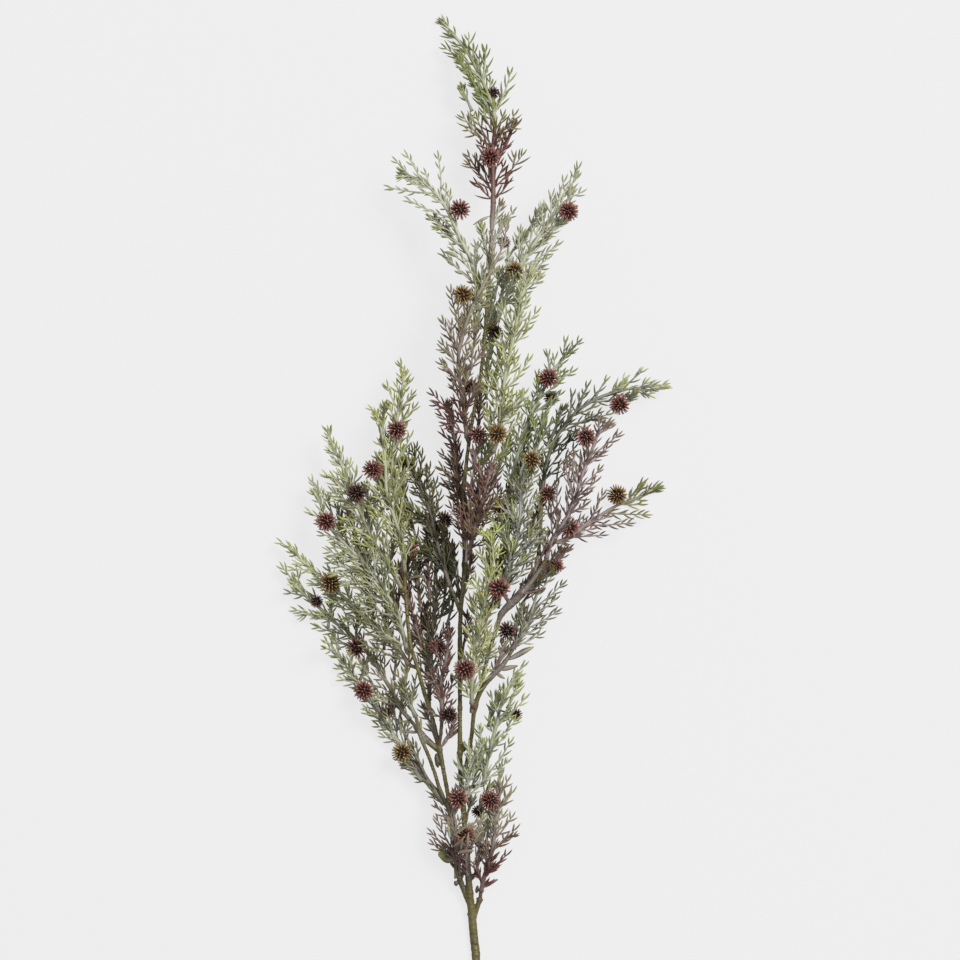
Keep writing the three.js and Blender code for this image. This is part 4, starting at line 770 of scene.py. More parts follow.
# The frosting paint lies in specks, thickest on what faces up
frosting, tree, given, gives = effect_group(
    "frosting", [("Color", "Color"), ("Frost", "Color"), ("Amount", "Float"), ("Scale", "Float")],
    [("Color", "Color"), ("Height", "Float")])
facing_up = tree.node("ShaderNodeSeparateXYZ",
                      {0: tree.node("ShaderNodeNewGeometry").outputs["Normal"]}).outputs["Z"]
specks = tree.node("ShaderNodeTexNoise", {"Vector": tree.place(), "Scale": given["Scale"],
                                          "Detail": 5.0, "Roughness": 0.7}).outputs["Fac"]
cover = tree.times(given["Amount"], tree.between(facing_up, -0.6, 0.9, 0.35, 1.0))
threshold = tree.minus(0.95, cover)
mask = tree.between(specks, tree.minus(threshold, 0.28), tree.plus(threshold, 0.12))
mask = tree.times(mask, cover, clamp=True)
tree.link(tree.mix(mask, given["Color"], given["Frost"]), gives["Color"])
tree.link(mask, gives["Height"])


def new_material(name):
    material = bpy.data.materials.new(name)
    material.use_nodes = True
    tree = Tree(material.node_tree)
    return material, tree, material.node_tree.nodes["Principled BSDF"]


def finish_surface(tree, shader, colour, height, relief, roughness):
    """Feeds a colour, a height with its relief in millimetres and a roughness to the shader."""
    bump = tree.node("ShaderNodeBump", {"Height": height, "Distance": relief * MM,
                                        "Strength": 1.0})
    tree.link(colour, shader.inputs["Base Color"])
    tree.link(bump.outputs["Normal"], shader.inputs["Normal"])
    tree.link(roughness, shader.inputs["Roughness"])


bark_material, tree, shader = new_material("moulded_bark")
patches = tree.noise(90.0, 4.0, (1.0, 0.35, 1.0))
bands = tree.noise(420.0, 2.0, (0.12, 1.0, 0.12))
flecks = tree.noise(700.0, 2.0)
colour = tree.mix(tree.between(patches, 0.4, 0.62), linear(BARK_OLIVE), linear(BARK_TAN))
colour = tree.mix(tree.between(bands, 0.56, 0.7, 0.0, 0.75), colour, linear(BARK_BROWN))
colour = tree.mix(tree.between(flecks, 0.63, 0.7, 0.0, 0.7), colour, linear(BARK_FLECK))
colour = tree.mix(tree.times(tree.note("plum"), 0.85), colour, linear(BARK_PLUM))
colour = tree.mix(tree.times(tree.note("shade"), 0.7), colour, linear(BARK_SHADE))
frosted = tree.node("ShaderNodeGroup", {
    "Color": colour, "Amount": tree.plus(tree.times(tree.note("grey"), 0.62), 0.05),
    "Frost": linear(BARK_GREY), "Scale": 260.0}, node_tree=frosting)
finish_surface(tree, shader, frosted.outputs["Color"], tree.plus(bands, tree.times(flecks, 0.5)),
               BARK_GRAIN, tree.between(patches, 0.3, 0.7, *BARK_ROUGHNESS))
stem.data.materials.append(bark_material)
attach(stem, "root")
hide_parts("stem")

# Each shoot is one soft plastic moulding: a thin core with forking side twiglets, all set with
# short needles. It is green or plum, and paint was sprayed on until the twigs look frosted.
CORE_ROOT_RADIUS = 2.6
CORE_TIP_RADIUS = 1.5
CORE_SHRINK = 0.86
INNER_CORE_SHARE = 0.6
CORE_SIDES = 8
CORE_RING_SPACING = 4.0
CORE_TAPER_LENGTH = 22.0
CORE_TAPER_LEAST = 0.45
CORE_POINT_SETBACK = 2
SLEEVE_EXTRA = 0.45
SLEEVE_LENGTH = 6.0
BRANCH_ANGLE = math.radians(31)
FIRST_BRANCH = 3.0
LONGEST_TWIGLET = 52.0
TWIGLET_ROOT_RADIUS = 1.2
TWIGLET_TIP_RADIUS = 0.75
TWIGLET_POINT_RADIUS = 0.2
TWIGLET_BOW = 0.1
TWIGLET_BOW_PLACE = 0.45
TWIGLET_TILT = 0.28
TWIGLET_STEPS = 6
TWIG_FOOT_RADIUS = 0.9
TWIG_ROOT_RADIUS = 1.08
TWIG_END_RADIUS = 0.62
TWIG_SIDES = 6
TWIG_RING_SPACING = 5.0
TWIG_POINT_LENGTH = 1.5
ROOT_SETBACK = 2.2
FLOOR_CLEARANCE = 1.2
TRIED_LIFTS = (0, 0.3, -0.3, 0.6, -0.6)

# The twiglets that the sprig's outline rests on, then finer ones between them
FILL_SPACING = 70.0
FILL_START = 28.0
FILL_END = 12.0
FILL_LENGTH = 27.0
FILL_SWING = 0.9
FINE_SPACING = 10.5
FINE_START = 9.0
FINE_END = 7.0
FINE_SHARE = (0.5, 0.86)
FINE_ANGLE = (19, 34)
FINE_ROLL = 0.75
FINE_OVERHANG = 3.0
USUAL_TWIGLET = 20.0
ROOT_TWIGLET = 9.0
END_TWIGLET = 8.0
RAISED_SPACING = 14.0
RAISED_LENGTH = (14, 24)
RAISED_ROLL = 0.6
SPRAY_SHARE = (0.38, 0.62)
SPRAY_LENGTH = (0.6, 0.85)
SPRAY_RISE = 0.4
SHORTEST_SPRAYED = 24
TWIGLET_GAPS = {"berry": 0.6, "core": 1.6, "twiglet": 3.6, "own": 2.2}
FINE_GAPS = {"berry": 0.0, "core": -0.6, "twiglet": -0.4, "own": -0.2}
INNER_GAPS = {"berry": 0.0, "core": -1.4, "twiglet": -1.2, "own": -0.3}

# Needles: left, right and upright ones in turn, then a small fork at the tip
NEEDLE_SPACING = 3.9
NEEDLE_START = (2.5, 4.5)
NEEDLE_LENGTH = (10.4, 14.2)
NEEDLE_LEAN = (18, 31)
NEEDLE_TURNS = (0.0, math.pi, math.pi / 2, 0.0, math.pi, 0.0, math.pi)
NEEDLE_SWING = 0.6
NEEDLE_HALF_WIDTH = 1.17
NEEDLE_HALF_THICKNESS = 0.92
NEEDLE_RINGS = [[0.0, 0.55], [0.2, 0.9], [0.45, 1.0], [0.75, 0.7]]
NEEDLE_INCURVE = 0.05
CORE_NEEDLE_START = 4.0
CORE_NEEDLE_SPACING = 5.6
CORE_TIP_SPACING = 2.6
CORE_TIP_LENGTH = 18
CORE_TIP_NEEDLES = ((0.0, 24), (math.pi, 20), (1.5, 4))
TIP_FORK = 8.5
TIP_SWING = 0.5
LAST_NEEDLE = 11.0
TIP_NEEDLE_LENGTH = (8.2, 10.4)
LONG_NEEDLES = {"leader_shoot": 1.32, "middle_front_shoot": 1.1, "lime_front_shoot": 1.1,
                "upper_left_shoot": 0.75, "inner_sprig_101": 0.7}
SHOOT_SEED = 4021
FINE_SEED = 30011
SPRAY_SEED = FINE_SEED + 1000
NEEDLE_SEED = 12063

# Berries are laid out before the twiglets, so that these keep clear of them. A row is x, y,
# radius, the shoot that carries it, whether it lies above or below the shoot, and its tone.
BERRY_SEAT_ROOM = 2.6
BERRY_LOWEST_RISE = 2.0
STALK_ROOT_RADIUS = 2.0
STALK_END_RADIUS = 0.8
BERRIES = [
    (10, 821, 11, "leader_shoot", 1, "brown"),
    (-20, 769, 11, "upper_left_shoot", 1, "brown"),
    (88, 767, 11, "upper_right_shoot", 1, "brown"),
    (34, 708, 10, "upper_right_shoot", 1, "gold"),
    (-17, 684, 11, "crossing_shoot", 1, "gold"),
    (-9, 592, 9, "crossing_shoot", -1, "dark"),
    (-2, 545, 10, "crossing_shoot", 1, "brown"),
    (17, 546, 11, "middle_front_shoot", 1, "gold"),
    (68, 601, 11, "right_upper_shoot", 1, "brown"),
    (51, 520, 11, "right_upper_shoot", 1, "gold"),
    (139, 575, 11, "right_dark_shoot", 1, "brown"),
    (68, 486, 9, "right_dark_shoot", 1, "brown"),
    (105, 543, 11, "right_mauve_shoot", 1, "brown"),
    (89, 453, 11, "right_mauve_shoot", -1, "brown"),
    (137, 485, 11, "right_mauve_shoot", 1, "gold"),
    (20, 472, 10, "middle_grey_shoot", 1, "brown"),
    (19, 392, 12, "lime_front_shoot", 1, "brown"),
    (-15, 312, 12, "lime_front_shoot", 1, "brown"),
    (27, 350, 10, "right_low_shoot", 1, "dark"),
    (-83, 550, 11, "left_tall_shoot", 1, "brown"),
    (-107, 510, 11, "left_tall_shoot", 1, "brown"),
    (-123, 487, 11, "left_outer_upper_shoot", 1, "dark"),
    (-153, 459, 11, "left_outer_middle_shoot", 1, "brown"),
    (-35, 460, 9, "inner_left_dark_shoot", 1, "dark"),
    (-149, 397, 12, "left_outer_lower_shoot", 1, "gold"),
    (-123, 332, 12, "left_floor_shoot", 1, "brown"),
    (-116, 290, 11, "left_bottom_shoot", 1, "brown"),
    (-78, 228, 11, "left_bottom_shoot", 1, "gold"),
    (-31, 266, 10, "inner_left_plum_shoot", 1, "dark"),
    (-43, 333, 10, "inner_back_dark_shoot", 1, "brown"),
    (-22, 183, 11, "pale_small_shoot", 1, "brown"),
    (10, 181, 11, "bottom_right_shoot", 1, "brown"),
    (-15, 146, 11, "bottom_left_shoot", 1, "brown"),
]


class Taken:
    """Everything already placed, as tapered round rods, so that what comes later keeps clear."""

    KINDS = ("core", "berry", "twiglet")

    def __init__(self):
        self.count = 0
        self.ends = np.zeros((4096, 2, 3))
        self.radii = np.zeros((4096, 2))
        self.marks = np.zeros((4096, 3), int)
        self.owners = {}

    def place(self, owner, kind, a, b, radius_a, radius_b, twiglet=-1):
        if self.count == len(self.ends):
            self.ends = np.concatenate([self.ends, np.zeros_like(self.ends)])
            self.radii = np.concatenate([self.radii, np.zeros_like(self.radii)])
            self.marks = np.concatenate([self.marks, np.zeros_like(self.marks)])
        owner = self.owners.setdefault(owner, len(self.owners))
        self.ends[self.count] = (a, b)
        self.radii[self.count] = (radius_a, radius_b)
        self.marks[self.count] = (owner, self.KINDS.index(kind), twiglet)
        self.count += 1

    def place_chain(self, owner, kind, points, radii, twiglet=-1):
        for i in range(len(points) - 1):
            self.place(owner, kind, points[i], points[i + 1], radii[i], radii[i + 1], twiglet)

    def has_room(self, owner, twiglet, a, b, radius_a, radius_b, gaps):
        a = np.array(a)
        b = np.array(b)
        ends = self.ends[:self.count]
        radii = self.radii[:self.count]
        owners, kinds, twiglets = self.marks[:self.count].T
        reach = (np.linalg.norm(b - a) + np.linalg.norm(ends[:, 1] - ends[:, 0], axis=1)) / 2
        reach = reach + max(radius_a, radius_b) + radii.max(axis=1) + max(gaps.values())
        own = owners == self.owners.get(owner, -1)
        near = np.linalg.norm(ends.mean(axis=1) - (a + b) / 2, axis=1) <= reach
        near &= ~(own & ((kinds == 0) | (twiglets == twiglet)))
        if not near.any():
            return True
        distance, s, t = nearest_on_rods(a, b, ends[near, 0], ends[near, 1])
        room = radius_a + (radius_b - radius_a) * s
        room = room + radii[near, 0] + (radii[near, 1] - radii[near, 0]) * t
        gap = np.array([gaps[kind] for kind in self.KINDS])[kinds[near]]
        gap = np.where(own[near], gaps["own"], gap)
        return not (distance < room + gap).any()


def nearest_on_rods(a, b, c, d):
    """Distances between one straight piece and many, and how far along the nearest points lie."""
    tiny = 1e-9
    first = b - a
    second = d - c
    between_starts = a - c
    first_squared = max(first @ first, tiny)
    second_squared = np.maximum((second * second).sum(axis=1), tiny)
    across = second @ first
    first_dot = between_starts @ first
    second_dot = (second * between_starts).sum(axis=1)
    crossing = first_squared * second_squared - across * across
    s = np.where(crossing > tiny, (across * second_dot - first_dot * second_squared)
                 / np.maximum(crossing, tiny), 0.0).clip(0, 1)
    t = (across * s + second_dot) / second_squared
    s = np.where(t < 0, (-first_dot / first_squared).clip(0, 1), s)
    s = np.where(t > 1, ((across - first_dot) / first_squared).clip(0, 1), s)
    t = t.clip(0, 1)
    nearest = a + first * s[:, None] - c - second * t[:, None]
    return np.linalg.norm(nearest, axis=1), s, t


def core_radius(line, distance):
    return CORE_ROOT_RADIUS + (CORE_TIP_RADIUS - CORE_ROOT_RADIUS) * distance / line.total


taken = Taken()
for name, points in wood.items():
    taken.place_chain("stem", "core", points, [row[3] for row in STEM_FORKS[name]])
for root, end in spurs.values():
    taken.place("stem", "core", root, end, SPUR_RADIUS, SPUR_RADIUS)
for name, lines in shoot_lines.items():
    for line in lines:
        taken.place_chain(name, "core", line.points,
                          [core_radius(line, length) for length in line.lengths])


def berry_seat(x, y, shoot):
    """The point of the shoot's cores that lies nearest below or above a place."""
    best = None
    nearest = math.inf
    for line in shoot_lines[shoot]:
        for s in range(int(line.total) + 1):
            point = line.at(s)
            flat = math.hypot(point.x - x, point.y - y)
            if flat < nearest:
                nearest = flat
                best = point
    return best, nearest


berries = []
for number, (x, y, radius, shoot, side, tone) in enumerate(BERRIES, start=1):
    seat, flat = berry_seat(x, y, shoot)
    room = radius + BERRY_SEAT_ROOM
    rise = math.sqrt(room ** 2 - flat ** 2) if flat < room else BERRY_LOWEST_RISE
    centre = Vector((x, y, max(seat.z + side * rise, radius)))
    name = f"berry_{number:02d}"
    taken.place(name, "berry", centre, centre, radius, radius)
    taken.place(name, "berry", centre, seat, STALK_ROOT_RADIUS, STALK_END_RADIUS)
    berries.append((name, centre, radius, tone, seat))


def place_of_branch(line, tip):
    """Where a twiglet leaves its core, so that it makes the branch angle with it."""
    s = FIRST_BRANCH
    while s < line.total - FIRST_BRANCH:
        here = line.at(s)
        forward = line.direction(s).xy
        reach = Vector(tip) - here.xy
        along = min(reach.dot(forward) / (reach.length * forward.length), 1.0)
        if reach.length < LONGEST_TWIGLET and math.acos(along) >= BRANCH_ANGLE:
            return s
        s += 1
    return line.total - FIRST_BRANCH


def twiglet_points(line, s, tip):
    base = line.at(s)
    forward = line.direction(s)
    reach = tip - base
    outward = (reach - forward * reach.dot(forward)).normalized()
    middle = base.lerp(tip, TWIGLET_BOW_PLACE) + outward * TWIGLET_BOW * reach.length
    shares = [i / TWIGLET_STEPS for i in range(TWIGLET_STEPS + 1)]
    return [base * (1 - t) ** 2 + middle * 2 * t * (1 - t) + tip * t ** 2 for t in shares]


twiglets = []


def add_twiglet(shoot, line, s, tip, gaps=TWIGLET_GAPS, upshoot=None):
    """Adds a twiglet if there is room for it, raised or lowered where it has to be."""
    length = (tip - line.at(s)).length
    for lift in TRIED_LIFTS:
        end = tip.copy()
        end.z = max(end.z + lift * length, FLOOR_CLEARANCE)
        points = twiglet_points(line, s, end)
        number = len(twiglets)
        if all(taken.has_room(shoot, number, points[i], points[i + 1], TWIGLET_ROOT_RADIUS,
                              TWIGLET_TIP_RADIUS, gaps) for i in range(1, TWIGLET_STEPS)):
            radii = [TWIGLET_ROOT_RADIUS] * TWIGLET_STEPS + [TWIGLET_POINT_RADIUS]
            taken.place_chain(shoot, "twiglet", points, radii, number)
            twiglets.append({"shoot": shoot, "points": points,
                             "root": line.at(s - ROOT_SETBACK),
                             "upshoot": s / line.total if upshoot is None else upshoot})
            return


def sideways_of(forward):
    """The level direction to the left of a line."""
    return Vector((-forward.y, forward.x, 0)).normalized()


def tip_beside(line, s, outward, length, angle):
    """Where a twiglet ends that leaves the line at an angle."""
    forward = line.direction(s)
    return line.at(s) + forward * length * math.cos(angle) + outward * length * math.sin(angle)


for index, (name, (_, axes)) in enumerate(SHOOTS.items()):
    draw = random_stream(SHOOT_SEED + index)
    for line, (_, tips) in zip(shoot_lines[name], axes):
        for x, y in tips:
            s = place_of_branch(line, (x, y))
            base = line.at(s)
            tilt = between(draw, -TWIGLET_TILT, TWIGLET_TILT) * math.hypot(x - base.x, y - base.y)
            add_twiglet(name, line, s, Vector((x, y, base.z + tilt)))
        side = 1
        s = FILL_START
        while s < line.total - FILL_END:
            length = FILL_LENGTH * between(draw, 0.85, 1.15)
            swing = between(draw, -FILL_SWING, FILL_SWING)
            outward = (sideways_of(line.direction(s)) * math.sin(swing)
                       + Vector((0, 0, side * math.cos(swing))))
            tip = tip_beside(line, s, outward, length, BRANCH_ANGLE)
            if tip.z > FLOOR_CLEARANCE:
                add_twiglet(name, line, s, tip)
            side = -side
            s += FILL_SPACING
outline_twiglets = len(twiglets)

# Inner sprigs that fill the thick of the bunch: tone, length of their twiglets and their path
INNER_ROWS = [
    ("plum", 16, [[-52, 312, 22], [-60, 340, 26], [-68, 368, 28], [-76, 396, 26], [-82, 420, 24]]),
    ("green", 14, [[-75, 340, 18], [-84, 370, 20], [-88, 395, 18]]),
    ("dark", 14, [[-18, 368, 40], [-22, 395, 38], [-28, 420, 34], [-31, 440, 30]]),
    ("plum", 12, [[-18, 380, 44], [-12, 405, 42], [-6, 428, 38]]),
    ("mauve", 16, [[28, 375, 40], [45, 392, 36], [65, 410, 32], [82, 425, 26], [92, 434, 20]]),
    ("grey", 13, [[40, 395, 30], [55, 405, 28], [76, 412, 24]]),
    ("green", 14, [[-2, 480, 44], [0, 500, 46], [4, 520, 46], [10, 540, 44]]),
    ("olive", 14, [[6, 480, 40], [15, 502, 44], [25, 525, 46], [32, 540, 44]]),
    ("lime", 13, [[6, 580, 44], [8, 610, 44], [10, 640, 42], [12, 670, 40], [12, 690, 40]]),
    ("pale", 12, [[0, 650, 46], [-2, 680, 46], [0, 705, 44]]),
    ("lime", 10, [[9, 718, 50], [4, 740, 48], [2, 758, 46]]),
    ("pale", 9, [[11, 730, 52], [17, 744, 50], [23, 754, 48], [29, 764, 46]]),
    ("mauve", 10, [[-53, 198, 15], [-66, 211, 14], [-80, 216, 12]]),
    ("plum", 11, [[-88, 510, 20], [-94, 530, 22], [-100, 544, 22]]),
    ("lime", 11, [[-128, 480, 18], [-134, 498, 18], [-140, 510, 16]]),
    ("olive", 10, [[-135, 370, 12], [-146, 380, 12], [-154, 386, 10]]),
    ("green", 10, [[-120, 300, 10], [-114, 315, 12], [-108, 328, 12]]),
    ("mauve", 11, [[-42, 235, 30], [-50, 258, 28], [-56, 278, 28]]),
    ("plum", 9, [[-41, 232, 30], [-34, 239, 33], [-29, 248, 35], [-25, 257, 35]]),
    ("dark", 10, [[-16, 150, 14], [-12, 170, 18], [-8, 184, 22]]),
    ("grey", 9, [[-14, 112, 12], [-22, 124, 14], [-28, 132, 14]]),
    ("plum", 8, [[18, 820, 44], [26, 834, 42], [33, 850, 38], [37, 860, 36]]),
    ("dark", 9, [[132, 570, 14], [145, 578, 12], [156, 584, 10]]),
    ("olive", 13, [[-118, 452, 14], [-112, 476, 16], [-116, 500, 14]]),
    ("green", 13, [[-86, 300, 14], [-84, 330, 16], [-92, 352, 16]]),
    ("mauve", 12, [[-84, 440, 16], [-78, 470, 18], [-80, 495, 16]]),
    ("dark", 14, [[-60, 368, 20], [-61, 395, 22], [-65, 420, 22], [-69, 440, 20]]),
    ("plum", 12, [[-50, 380, 24], [-52, 410, 24], [-56, 432, 22]]),
    ("mauve", 12, [[-14, 418, 62], [-12, 455, 64], [-8, 495, 65], [-4, 532, 61]]),
    ("green", 12, [[-6, 510, 58], [-2, 528, 58], [4, 544, 56]]),
    ("lime", 12, [[10, 510, 52], [22, 528, 52], [32, 544, 50]]),
    ("dark", 10, [[-33, 355, 30], [-28, 375, 32], [-25, 390, 32]]),
    ("green", 8, [[-148, 464, 12], [-150, 475, 12], [-152, 488, 12]]),
    ("plum", 11, [[-108, 450, 18], [-114, 472, 20], [-120, 485, 20]]),
    ("green", 9, [[-82, 250, 14], [-86, 268, 14], [-92, 280, 14]]),
    ("lime", 7, [[-140, 330, 8], [-144, 340, 8], [-150, 348, 8]]),
    ("olive", 9, [[-104, 290, 10], [-112, 304, 10], [-118, 316, 10]]),
    ("mauve", 10, [[14, 375, 36], [22, 390, 36], [32, 405, 36]]),
    ("olive", 9, [[-2, 170, 24], [6, 186, 26], [14, 200, 26]]),
    ("mauve", 8, [[-28, 160, 16], [-24, 172, 18], [-18, 184, 18]]),
    ("olive", 11, [[56, 450, 34], [60, 472, 36], [66, 490, 36]]),
    ("lime", 10, [[14, 680, 46], [18, 698, 46], [20, 712, 44]]),
    ("lime", 11, [[12, 590, 46], [18, 614, 46], [20, 635, 44]]),
    ("olive", 9, [[-8, 868, 34], [-14, 882, 30], [-18, 896, 26]]),
]
LOW_ROWS = [
    ("mauve", 8, [[-12, 104, 18], [-14, 118, 27], [-13, 134, 31], [-9, 150, 32]]),
    ("plum", 8, [[-20, 106, 15], [-20, 120, 23], [-16, 138, 30], [-14, 156, 34]]),
    ("mauve", 7, [[-10, 128, 22], [-6, 142, 30], [0, 156, 33], [4, 168, 34]]),
]
# Shorter ones below and between: tone, length of their twiglets, root, heading and length
SHORT_SPRIGS = [
    ("green", 11, (13, 862, 36), 120, 72), ("pale", 10, (12, 750, 52), 70, 32),
    ("mauve", 8, (44, 722, 52), 40, 34), ("pale", 9, (-5, 705, 46), 84, 34),
    ("pale", 10, (18, 674, 44), 72, 42), ("plum", 11, (-9, 622, 46), 78, 42),
    ("green", 10, (42, 740, 34), 56, 42), ("green", 9, (64, 742, 28), 40, 36),
    ("olive", 9, (26, 718, 42), 58, 38), ("plum", 11, (-3, 546, 48), 84, 50),
    ("dark", 10, (68, 536, 32), 66, 44), ("lime", 9, (-99, 540, 22), 82, 40),
    ("olive", 10, (-107, 466, 18), 80, 46), ("plum", 9, (-138, 438, 8), 96, 40),
    ("green", 9, (-130, 432, 8), 112, 30), ("dark", 11, (-63, 436, 22), 102, 42),
    ("dark", 11, (-36, 428, 32), 92, 42), ("olive", 11, (-92, 408, 14), 78, 44),
    ("green", 10, (-117, 408, 12), 84, 42), ("dark", 12, (-64, 392, 12), 80, 46),
    ("plum", 12, (-84, 368, 12), 78, 50), ("dark", 12, (-38, 368, 24), 80, 46),
    ("dark", 11, (12, 392, 48), 74, 46), ("mauve", 12, (40, 374, 26), 54, 74),
    ("plum", 11, (2, 348, 38), 70, 42), ("plum", 11, (-18, 326, 38), 80, 42),
    ("olive", 9, (-152, 352, 6), 82, 38), ("green", 10, (-125, 332, 8), 84, 42),
    ("dark", 12, (-62, 336, 12), 78, 44), ("plum", 12, (-75, 300, 10), 80, 46),
    ("green", 11, (-81, 258, 8), 80, 44), ("dark", 10, (-33, 174, 16), 132, 66),
    ("pale", 10, (-8, 192, 24), 76, 42), ("plum", 9, (-27, 156, 20), 86, 38),
    ("plum", 9, (-4, 118, 18), 78, 40), ("olive", 9, (6, 138, 20), 80, 40),
    ("green", 9, (8, 254, 32), 74, 38), ("lime", 8, (27, 272, 24), 62, 32),
    ("dark", 12, (-96, 330, 6), 86, 60), ("dark", 12, (-50, 300, 10), 92, 60),
    ("dark", 12, (-72, 450, 10), 96, 60), ("dark", 12, (-45, 400, 14), 88, 60),
    ("dark", 12, (24, 430, 26), 78, 60), ("plum", 12, (44, 440, 24), 64, 60),
    ("dark", 12, (-6, 440, 30), 84, 60), ("plum", 12, (-22, 470, 34), 92, 56),
    ("plum", 11, (-16, 560, 34), 88, 56), ("dark", 11, (36, 500, 30), 76, 56),
    ("dark", 11, (10, 620, 30), 82, 50), ("dark", 11, (-112, 370, 6), 90, 56),
    ("plum", 11, (-30, 380, 16), 86, 56), ("dark", 11, (6, 400, 26), 80, 56),
    ("lime", 7, (170, 591, 22), 16, 21), ("olive", 7, (165, 487, 8), 22, 21),
    ("lime", 7, (-148, 538, 36), 104, 17), ("green", 8, (86, 784, 46), 62, 28),
    ("mauve", 5, (-9, 722, 50), 134, 58), ("dark", 9, (-53, 202, 18), 114, 42),
    ("plum", 8, (8, 300, 48), 60, 42), ("mauve", 9, (18, 318, 50), 50, 44),
    ("plum", 9, (36, 384, 50), 48, 46), ("dark", 9, (44, 388, 50), 38, 40),
    ("plum", 8, (50, 404, 52), 60, 40), ("olive", 10, (2, 636, 44), 74, 44),
    ("plum", 8, (-24, 102, 12), 96, 30), ("plum", 12, (-118, 420, 8), 104, 56),
    ("plum", 12, (-92, 470, 14), 100, 56), ("plum", 12, (-104, 350, 8), 100, 56),
    ("mauve", 8, (-6, 104, 14), 70, 34), ("dark", 12, (-52, 420, 16), 86, 60),
    ("dark", 12, (-30, 396, 20), 96, 56), ("green", 11, (18, 372, 40), 78, 50),
    ("olive", 10, (30, 340, 34), 68, 40), ("dark", 11, (-70, 372, 14), 92, 56),
]
INNER_SPRIGS = {f"inner_sprig_{number:02d}": row
                for number, row in enumerate(INNER_ROWS, start=1)}
INNER_SPRIGS |= {f"low_sprig_{number}": row for number, row in enumerate(LOW_ROWS, start=1)}
for number, (tone, reach, root, heading, length) in enumerate(SHORT_SPRIGS,
                                                              start=len(INNER_ROWS) + 1):
    heading = math.radians(heading)
    ahead = Vector((math.cos(heading), math.sin(heading), 0)) * length / 2
    rise = Vector((0, 0, length / 20))
    path = [Vector(root), Vector(root) + ahead + rise, Vector(root) + ahead * 2]
    INNER_SPRIGS[f"inner_sprig_{number}"] = (tone, reach, [point[:] for point in path])
for name, (_, _, path) in INNER_SPRIGS.items():
    shoot_lines[name] = [Line.through(path)]

# Shoots at the edge of the bunch are thinner than the ones inside it
THIN_SHOOTS = {
    "leader_shoot": 0.62, "upper_left_shoot": 0.5, "upper_right_shoot": 0.8,
    "right_upper_shoot": 0.65, "middle_front_shoot": 0.85, "left_tall_shoot": 0.65,
    "right_dark_shoot": 0.5, "right_mauve_shoot": 0.65, "right_low_shoot": 0.75,
    "right_bottom_shoot": 0.45, "bottom_right_shoot": 0.75, "bottom_left_shoot": 0.8,
    "crossing_shoot": 0.75, "left_bottom_shoot": 0.85, "left_outer_lower_shoot": 0.75,
    "left_floor_shoot": 0.75, "left_outer_upper_shoot": 0.85,
}
# Places that the shoots leave open, from the floor up to above them: [x, y, radius]
OPEN_HEIGHT = 110
OPEN_PLACES = [
    [-70, 480, 7], [82, 502, 8], [73, 488, 6], [93, 583, 9], [110, 585, 6], [-24, 398, 4],
    [-34, 705, 8], [-25, 695, 6], [-40, 718, 6], [-43, 815, 9], [-70, 825, 6], [-90, 787, 5],
    [-55, 773, 6], [-38, 655, 7], [-40, 610, 5], [-38, 565, 5], [-92, 585, 8], [-104, 545, 6],
    [-60, 530, 6], [-155, 495, 6], [-170, 470, 5], [-188, 408, 6], [-182, 380, 6],
    [-158, 348, 6], [43, 610, 6], [55, 662, 6], [65, 725, 7], [55, 695, 6], [45, 810, 6],
    [28, 890, 6], [-25, 890, 5], [-30, 920, 5], [-10, 825, 4], [132, 540, 6], [110, 500, 8],
    [155, 465, 7], [132, 458, 5], [160, 608, 5], [125, 595, 5], [63, 380, 7], [73, 362, 5],
    [32, 305, 5], [37, 277, 6], [13, 290, 5], [28, 228, 6], [-2, 255, 4], [35, 152, 5],
    [-40, 160, 6], [-45, 140, 4], [-3, 110, 4], [-55, 195, 4], [-82, 260, 4], [-95, 245, 4],
    [-40, 116, 5], [19, 728, 3], [0, 735, 4], [-40, 688, 7], [-36, 678, 5], [-37, 660, 5],
    [-45, 640, 4], [22, 770, 5], [30, 742, 4], [62, 690, 6], [46, 655, 5], [45, 640, 5],
    [100, 600, 7], [85, 568, 6], [150, 607, 6],
]
for x, y, radius in OPEN_PLACES:
    taken.place("open", "core", (x, y, 0), (x, y, OPEN_HEIGHT), radius, radius)


def known_lengths(line, tips, usual):
    """The lengths of the twiglets traced on the line's left and right, and where they leave it."""
    traced = {1: [], -1: []}
    for x, y in tips:
        s = place_of_branch(line, (x, y))
        forward = line.direction(s)
        reach = Vector((x, y)) - line.at(s).xy
        side = 1 if forward.x * reach.y - forward.y * reach.x > 0 else -1
        traced[side].append((s, reach.length))
    return {side: [(0.0, ROOT_TWIGLET), *(sorted(found) or [(line.total / 2, usual)]),
                   (line.total, END_TWIGLET)] for side, found in traced.items()}


